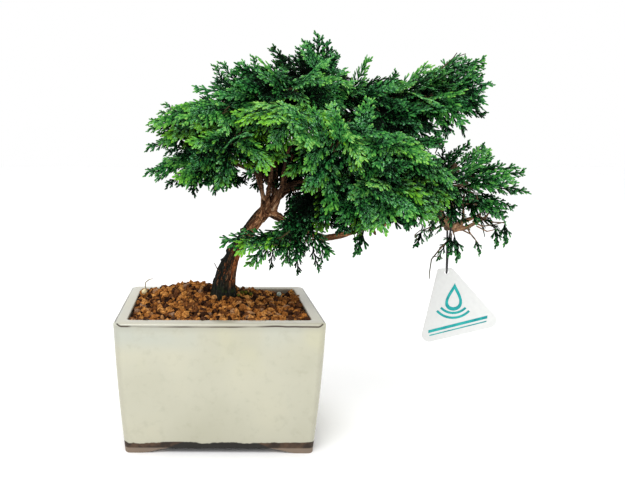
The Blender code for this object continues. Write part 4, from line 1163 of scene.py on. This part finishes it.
def add_wood(material):
    """The trunk and limbs with their forks melted together and their bark split into fibres and plates."""
    bm = merged_copy("wood")
    for vert in bm.verts:
        vert.co = slimmed(vert.co)
    for places, radii in EXTRA_STEMS:
        stem(bm, places, radii, 8)
    holder = object_of("wood_base", mesh_of("wood_base", bm))
    remesh = holder.modifiers.new("melt", "REMESH")
    remesh.mode = "VOXEL"
    remesh.voxel_size = MELT_CELL * MM
    smooth = holder.modifiers.new("soften", "SMOOTH")
    smooth.iterations = 3
    mesh = evaluated_mesh(holder)
    mesh.update()
    normals = [vert.normal.copy() for vert in mesh.vertices]
    for vert, normal in zip(mesh.vertices, normals):
        drawn, distance = fibre_place(vert.co)
        depth = min(0.9, 0.12 + 0.10 * distance / MM)
        fibre = noise.fractal(drawn * FIBRE_SCALE, 0.7, 2.0, 4)
        plate = rise(noise.noise(drawn * PLATE_SCALE + Vector((4, 1, 7))), -0.15, 0.1) - 0.5
        vert.co += normal * (0.7 * fibre + 0.8 * plate) * depth * MM
    coat(mesh, material)
    set_fibres(mesh)
    finished("trunk_and_limbs", mesh, "bark", "wood")


# Soil

def grain_mesh(index):
    """An angular grain: the hull of a few points on a squashed ball."""
    rng = random.Random(SEED * 10 + index)
    bm = bmesh.new()
    stretch = Vector((rng.uniform(0.85, 1.15), rng.uniform(0.8, 1.1), rng.uniform(0.65, 0.95)))
    for _ in range(15):
        direction = Vector([rng.gauss(0, 1) for _ in range(3)]).normalized()
        bm.verts.new(Vector([d * s for d, s in zip(direction, stretch)]) * rng.uniform(0.85, 1.1) * MM)
    hull = bmesh.ops.convex_hull(bm, input=bm.verts)
    inside = [item for item in hull["geom_interior"] if isinstance(item, bmesh.types.BMVert)]
    bmesh.ops.delete(bm, geom=inside, context="VERTS")
    bmesh.ops.recalc_face_normals(bm, faces=bm.faces)
    return mesh_of(f"grain_{index}", bm)


def rises_over(tree, kind, least):
    """Whether the Z of a place or a normal is over a least value."""
    parts = tree_node(tree, "ShaderNodeSeparateXYZ", {0: tree_node(tree, kind).outputs[0]})
    inputs = {0: parts.outputs[2], 1: least}
    return tree_node(tree, "FunctionNodeCompare", inputs, operation="GREATER_THAN").outputs[0]


def soil_tree():
    """The nodes that scatter clay grains over the top of the soil."""
    inputs = (("Grains", "Collection"), ("Clay", "Material"), ("Density", "Float"), ("Smallest", "Float"),
              ("Largest", "Float"), ("Seed", "Int"))
    tree, given, out = new_tree("grains on soil", inputs)
    upward = rises_over(tree, "GeometryNodeInputNormal", 0.25)
    high = rises_over(tree, "GeometryNodeInputPosition", SOIL_TOP)
    top = tree_node(tree, "FunctionNodeBooleanMath", {0: upward, 1: high}, operation="AND")
    points = tree_node(tree, "GeometryNodeDistributePointsOnFaces", {
        "Mesh": given["Geometry"], "Selection": top.outputs[0], "Density": given["Density"],
        "Seed": given["Seed"]})
    ends = {"Max": (6.28, 6.28, 6.28), "Seed": given["Seed"]}
    turn = tree_node(tree, "FunctionNodeRandomValue", ends, data_type="FLOAT_VECTOR")
    drawn = {0: random_share(tree, given["Seed"]), 1: 1.8}
    skewed = tree_node(tree, "ShaderNodeMath", drawn, operation="POWER")
    size = tree_node(tree, "ShaderNodeMapRange", {
        "Value": skewed.outputs[0], "To Min": given["Smallest"], "To Max": given["Largest"]})
    own = {"Geometry": points.outputs[0], "Name": "own", "Value": random_share(tree, COLOUR_SEED)}
    coloured = tree_node(tree, "GeometryNodeStoreNamedAttribute", own, domain="POINT", data_type="FLOAT")
    put = tree_node(tree, "GeometryNodeInstanceOnPoints", {
        "Points": coloured.outputs[0], "Instance": kinds_in(tree, given["Grains"]), "Pick Instance": True,
        "Rotation": turn.outputs[0], "Scale": size.outputs[0]})
    real = tree_node(tree, "GeometryNodeRealizeInstances", {"Geometry": put.outputs[0]})
    both = tree_node(tree, "GeometryNodeJoinGeometry")
    tree.links.new(real.outputs[0], both.inputs[0])
    tree.links.new(given["Geometry"], both.inputs[0])
    return coated(tree, both.outputs[0], given["Clay"], out)


def soil_rise(co):
    """How far the soil's base is over the CAD's, in millimetres: heaped back left, dipped back right."""
    x, y = (co - POT_PLACE).xy / MM
    heap = math.exp(-((x + 26) / 34) ** 2 - ((y - 26) / 16) ** 2)
    dip = math.exp(-((x - 52) / 16) ** 2 - ((y - 34) / 14) ** 2)
    return -SOIL_SINK + SOIL_HEAP * heap - SOIL_DIP * dip


def add_soil(material):
    kinds = kinds_of("grain", (grain_mesh(index) for index in range(GRAIN_KINDS)))
    base = merged_copy("soil")
    for vert in base.verts:
        if vert.co.z > SOIL_TOP:
            vert.co.z += soil_rise(vert.co) * MM
    values = {"Grains": kinds, "Clay": material, "Density": GRAINS_PER_AREA, "Smallest": SMALLEST_GRAIN,
              "Largest": LARGEST_GRAIN, "Seed": SEED}
    mesh = grown("soil_base", mesh_of("soil_base", base), soil_tree(), values)
    remove_kinds(kinds)
    finished("clay_grains", mesh, "clay_grains", "soil")


# Solids to cut and to cut with

def slab(name, outlines):
    """A closed solid between two like outlines."""
    bm = bmesh.new()
    near, far = [[bm.verts.new(planned(*place)) for place in outline] for outline in outlines]
    bm.faces.new(near)
    bm.faces.new(far[::-1])
    for k in range(len(near)):
        after = (k + 1) % len(near)
        bm.faces.new((near[k], far[k], far[after], near[after]))
    bmesh.ops.recalc_face_normals(bm, faces=bm.faces)
    return object_of(name, mesh_of(name, bm))


def cylinder(name, radius, depth, matrix):
    bm = bmesh.new()
    bmesh.ops.create_cone(bm, cap_ends=True, segments=40, radius1=radius * MM, radius2=radius * MM,
                          depth=depth * MM, matrix=matrix)
    return object_of(name, mesh_of(name, bm))


def cut_out(body, cutters):
    """The mesh of a body with others cut out of it. All these objects are removed."""
    for cutter in cutters:
        cut = body.modifiers.new("cut", "BOOLEAN")
        cut.operation, cut.solver, cut.object = "DIFFERENCE", "EXACT", cutter
    mesh = evaluated_mesh(body)
    for cutter in cutters:
        bpy.data.objects.remove(cutter)
    return mesh


# Pot

def wall_inset(height):
    """How far the outer wall is drawn in at a height, by its lean less its swell."""
    share = height / POT_SIZE.z
    return POT_LEAN * (1 - share) - POT_SWELL * math.sin(math.pi * share)


def plan_loop(inset, corner, height):
    """The pot's plan at a height: a rectangle with round corners, drawn in by an inset."""
    half_x, half_y = POT_SIZE.x / 2 - inset, POT_SIZE.y / 2 - inset
    loop = []
    for quarter, (sx, sy) in enumerate(((1, 1), (-1, 1), (-1, -1), (1, -1))):
        for step in range(CORNER_STEPS + 1):
            turn = math.radians(90 * (quarter + step / CORNER_STEPS))
            loop.append(planned(sx * (half_x - corner) + corner * math.cos(turn),
                                sy * (half_y - corner) + corner * math.sin(turn), height))
    return loop


def lofted(name, levels):
    """A closed solid through level loops, given as (height, inset, corner)."""
    bm = bmesh.new()
    rings = []
    for height, inset, corner in levels:
        rings.append([bm.verts.new(co) for co in plan_loop(inset, corner, height)])
    skinned(bm, rings)
    bmesh.ops.recalc_face_normals(bm, faces=bm.faces)
    return object_of(name, mesh_of(name, bm))


def edge_levels(radius, inset, inward, corner, steps):
    """Levels that round off an edge of the pot's top, drawn inwards or outwards from an inset."""
    levels = []
    for step in range(steps + 1):
        turn = math.radians(90 * step / steps)
        height = POT_SIZE.z - radius + radius * math.sin(turn)
        levels.append((height, inset + inward * radius * (1 - math.cos(turn)), corner))
    return levels


def arch(name, half_gap, ogee, along_x):
    """A bar to cut the opening between two feet, right through the pot, with an ogee at each end."""
    start = -half_gap - ogee / 2
    rows = [(start, -2.0)]
    for step in range(OGEE_STEPS + 1):
        share = step / OGEE_STEPS
        rows.append((start + ogee * share, FOOT_HEIGHT * (0.5 - 0.5 * math.cos(math.pi * share))))
    rows += [(-x, z) for x, z in rows[::-1]]
    return slab(name, [[(u, reach, z) if along_x else (reach, u, z) for u, z in rows]
                       for reach in (-CUTTER_REACH, CUTTER_REACH)])


def wall_shares(co):
    """How near a point is to an upright corner, and whether it's on an outer wall or an inner one."""
    local = (co - POT_PLACE) / MM
    inset = wall_inset(min(local.z, POT_SIZE.z))
    gap_x, gap_y = POT_SIZE.x / 2 - inset - abs(local.x), POT_SIZE.y / 2 - inset - abs(local.y)
    off = max(0.0, min(gap_x, gap_y))
    beside = off < 3.0 and local.z < POT_SIZE.z - RIM_ROUND
    upright = max(0.0, 1 - (gap_x + gap_y) / 9.0) if beside else 0.0
    inside = off > 5.5 and 14.0 < local.z < POT_SIZE.z - 0.5
    return upright, float(off < 2.0), float(inside)


def add_pot(material):
    outer = []
    for height in (0, 0.6, 3, 6, 9, 14, *range(20, 96, 6)):
        outer.append((height, wall_inset(height), POT_CORNER - 1.5 * (1 - height / POT_SIZE.z)))
    outer += edge_levels(RIM_ROUND, 0.0, 1, POT_CORNER, 6)
    floor = wall_inset(POT_FLOOR) + POT_WALL
    inner = [(POT_FLOOR, floor + 2.0, 3.0), (POT_FLOOR + 2, floor, 4.0)]
    inner += [(height, wall_inset(height) + POT_WALL, HOLLOW_CORNER) for height in range(24, 97, 12)]
    inner += edge_levels(LIP_ROUND, POT_WALL, -1, HOLLOW_CORNER, 5)
    inner.append((POT_SIZE.z + 5, POT_WALL - LIP_ROUND, HOLLOW_CORNER))
    half_x = POT_SIZE.x / 2 - POT_LEAN - FOOT_LENGTH
    half_y = POT_SIZE.y / 2 - POT_LEAN - FOOT_LENGTH
    shell = lofted("pot_shell", outer)
    cutters = [lofted("pot_hollow", inner), arch("front_arch", half_x, OGEE_FRONT, True),
               arch("side_arch", half_y, OGEE_SIDE, False)]
    for x in (-DRAIN_PLACE, DRAIN_PLACE):
        cutters.append(cylinder(f"drain_{x}", DRAIN_RADIUS, 40.0, Matrix.Translation(planned(x, 0, 10))))
    mesh = cut_out(shell, cutters)
    shares = [wall_shares(vert.co) for vert in mesh.vertices]
    for place, name in enumerate(("upright", "outer", "inner")):
        store(mesh, name, [share[place] for share in shares])
    coat(mesh, material)
    mesh.shade_smooth()
    mesh.set_sharp_from_angle(angle=math.radians(32))
    finished("glazed_pot", mesh, "glaze", "pot")


# Label and litter

def ribbon(bm, lefts, rights, closed):
    """A thin closed band of print on the label, between two lines of (x, z) places."""
    front = LABEL_FRONT - PRINT_RISE
    back = front + PRINT_SINK
    rings = []
    for a, b in zip(lefts, rights):
        corners = ((a, front), (b, front), (b, back), (a, back))
        rings.append([bm.verts.new(planned(x, y, z)) for (x, z), y in corners])
    skinned(bm, rings, closed)


def drop_outline(centre, height):
    """A water drop with its point up."""
    turns = [math.tau * step / 40 for step in range(40)]
    return [(centre[0] + 0.42 * height * math.sin(turn) * math.sin(turn / 2) ** 1.5,
             centre[1] + 0.5 * height * math.cos(turn)) for turn in turns]


def ripple(radius):
    """An arc below the drop."""
    turns = [math.radians(angle) for angle in range(222, 319, 8)]
    x, z = DROP_PLACE
    return [(x + radius * math.cos(turn), z + radius * math.sin(turn)) for turn in turns]


def rounded(corners):
    """A convex outline through (x, z, radius) corners, each rounded off."""
    outline = []
    for number, (x, z, radius) in enumerate(corners):
        corner = Vector((x, z))
        back = (Vector(corners[number - 1][:2]) - corner).normalized()
        ahead = (Vector(corners[(number + 1) % len(corners)][:2]) - corner).normalized()
        half = back.angle(ahead) / 2
        centre = corner + (back + ahead).normalized() * radius / math.sin(half)
        first = (corner + back * radius / math.tan(half) - centre).normalized()
        last = (corner + ahead * radius / math.tan(half) - centre).normalized()
        outline += [centre + first.slerp(last, step / 6) * radius for step in range(7)]
    return outline


def add_label(material):
    """The white sheet, with its rounded corners at the places seen in the photo, and its hole."""
    outline = rounded(LABEL_CORNERS)
    faces = (LABEL_FRONT, LABEL_FRONT + LABEL_THICK)
    sheet = slab("sheet", [[(x, y, z) for x, z in outline] for y in faces])
    x, z = LABEL_HOLE
    spot = Matrix.Translation(planned(x, LABEL_FRONT, z)) @ Matrix.Rotation(math.pi / 2, 4, "X")
    mesh = cut_out(sheet, [cylinder("label_hole", LABEL_HOLE_RADIUS, 10.0, spot)])
    coat(mesh, material)
    finished("label_sheet", mesh, "label_plastic", "label")


def add_print(material):
    """A plain mark on the label: a drop over two ripples, and a pair of rules."""
    bm = bmesh.new()
    x, z = DROP_PLACE
    ribbon(bm, drop_outline((x, z), DROP_HEIGHT), drop_outline((x, z - 1.0), DROP_HEIGHT * 0.66), True)
    for radius in RIPPLE_RADII:
        ribbon(bm, ripple(radius), ripple(radius + RIPPLE_WIDTH), False)
    for ends, thick in RULES:
        ribbon(bm, ends, [(x, z - thick) for x, z in ends], False)
    bmesh.ops.recalc_face_normals(bm, faces=bm.faces)
    mesh = mesh_of("label_print", bm)
    coat(mesh, material)
    finished("label_print", mesh, "label_plastic")


def add_tie(material):
    """The tie, its two strands thickened and drawn together below the branch into one strap."""
    bm = merged_copy("label_tie")
    bm.normal_update()
    middle = planned(0, LABEL_FRONT + LABEL_THICK / 2, 0).y
    for vert in bm.verts:
        spread = STRAP_SPREAD + (1 - STRAP_SPREAD) * rise(vert.co.z / MM, *STRAP_HEIGHTS)
        vert.co += vert.normal * TIE_SWELL * MM
        vert.co.y = middle + (vert.co.y - middle) * spread
    mesh = mesh_of("tie_loop", bm)
    coat(mesh, material)
    finished("tie_loop", mesh, "tie_wire", "label_tie")


def add_lumps(name, places, slot, material):
    """Small round lumps lying on the soil, given as place and radius."""
    bm = bmesh.new()
    for number, (place, radius) in enumerate(places):
        start = len(bm.verts)
        middle = planned(*place)
        bmesh.ops.create_icosphere(bm, subdivisions=3, radius=radius * MM, matrix=Matrix.Translation(middle))
        bm.verts.ensure_lookup_table()
        for vert in bm.verts[start:]:
            away = vert.co - middle
            vert.co += away * 0.22 * noise.noise(away * 900 + Vector((number, 0, 0)))
    mesh = mesh_of(name, bm)
    coat(mesh, material)
    mesh.shade_smooth()
    finished(name, mesh, slot)


def add_litter():
    pale = plain_finish("pale pellet", (206, 190, 140), (226, 214, 176), 300.0)
    grey = plain_finish("grey pellet", (120, 138, 122), (196, 206, 196), 300.0)
    add_lumps("pale_pellet", PALE_PELLET, "clay_grains", pale)
    add_lumps("grey_pellet", GREY_PELLET, "clay_grains", grey)
    add_lumps("moss", MOSS, "foliage", plain_finish("moss", (24, 28, 10), (92, 92, 26), 500.0))
    bm = bmesh.new()
    stem(bm, SPRIG, SPRIG_RADII, 6)
    mesh = mesh_of("dried_sprig", bm)
    coat(mesh, plain_finish("dried sprig", (120, 110, 84), (176, 164, 130), 400.0))
    finished("dried_sprig", mesh, "bark")


# Stage

def add_camera():
    data = bpy.data.cameras.new("photo view")
    data.sensor_width = 36.0
    data.lens = CAMERA_LENS
    data.shift_x = CAMERA_SHIFT
    data.clip_start, data.clip_end = 0.01, 20.0
    camera = object_of("photo view", data)
    camera.location = CAMERA_PLACE
    camera.rotation_euler = (math.pi / 2 - CAMERA_PITCH, 0.0, CAMERA_TURN)
    bpy.context.scene.camera = camera


def add_light(name, place, size, power):
    data = bpy.data.lights.new(name, "AREA")
    data.shape = "SQUARE"
    data.size = size
    data.energy = power
    light = object_of(name, data)
    light.location = place
    light.rotation_euler = (Vector(LIGHT_TARGET) - Vector(place)).to_track_quat("-Z", "Y").to_euler()


def add_stage():
    world = bpy.data.worlds.new("studio")
    world.use_nodes = True
    world.node_tree.nodes["Background"].inputs["Color"].default_value = (1.0, 1.0, 1.0, 1.0)
    world.node_tree.nodes["Background"].inputs["Strength"].default_value = 1.0
    bpy.context.scene.world = world
    bpy.context.scene.view_settings.view_transform = "Standard"
    bm = bmesh.new()
    bmesh.ops.create_grid(bm, x_segments=1, y_segments=1, size=6.0)
    floor = object_of("floor", mesh_of("floor", bm))
    paper = Finish("white paper floor", 0.9)
    paper.colour(linear(255, 255, 255))
    coat(floor.data, paper.material)
    for light in LIGHTS:
        add_light(*light)


leaf_material = foliage_finish()
bark_material = bark_finish()
add_pot(glaze_finish())
add_soil(grain_finish())
add_wood(bark_material)
add_foliage(leaf_material)
add_twigs(bark_material)
add_tie(dark_plastic_finish("black tie wire"))
add_label(label_finish())
add_print(print_finish())
add_litter()
screen_material = dark_plastic_finish("black screen")
for node in ("drain_screen_left", "drain_screen_right"):
    coat(frame["nodes"][node].data, screen_material)
add_camera()
add_stage()
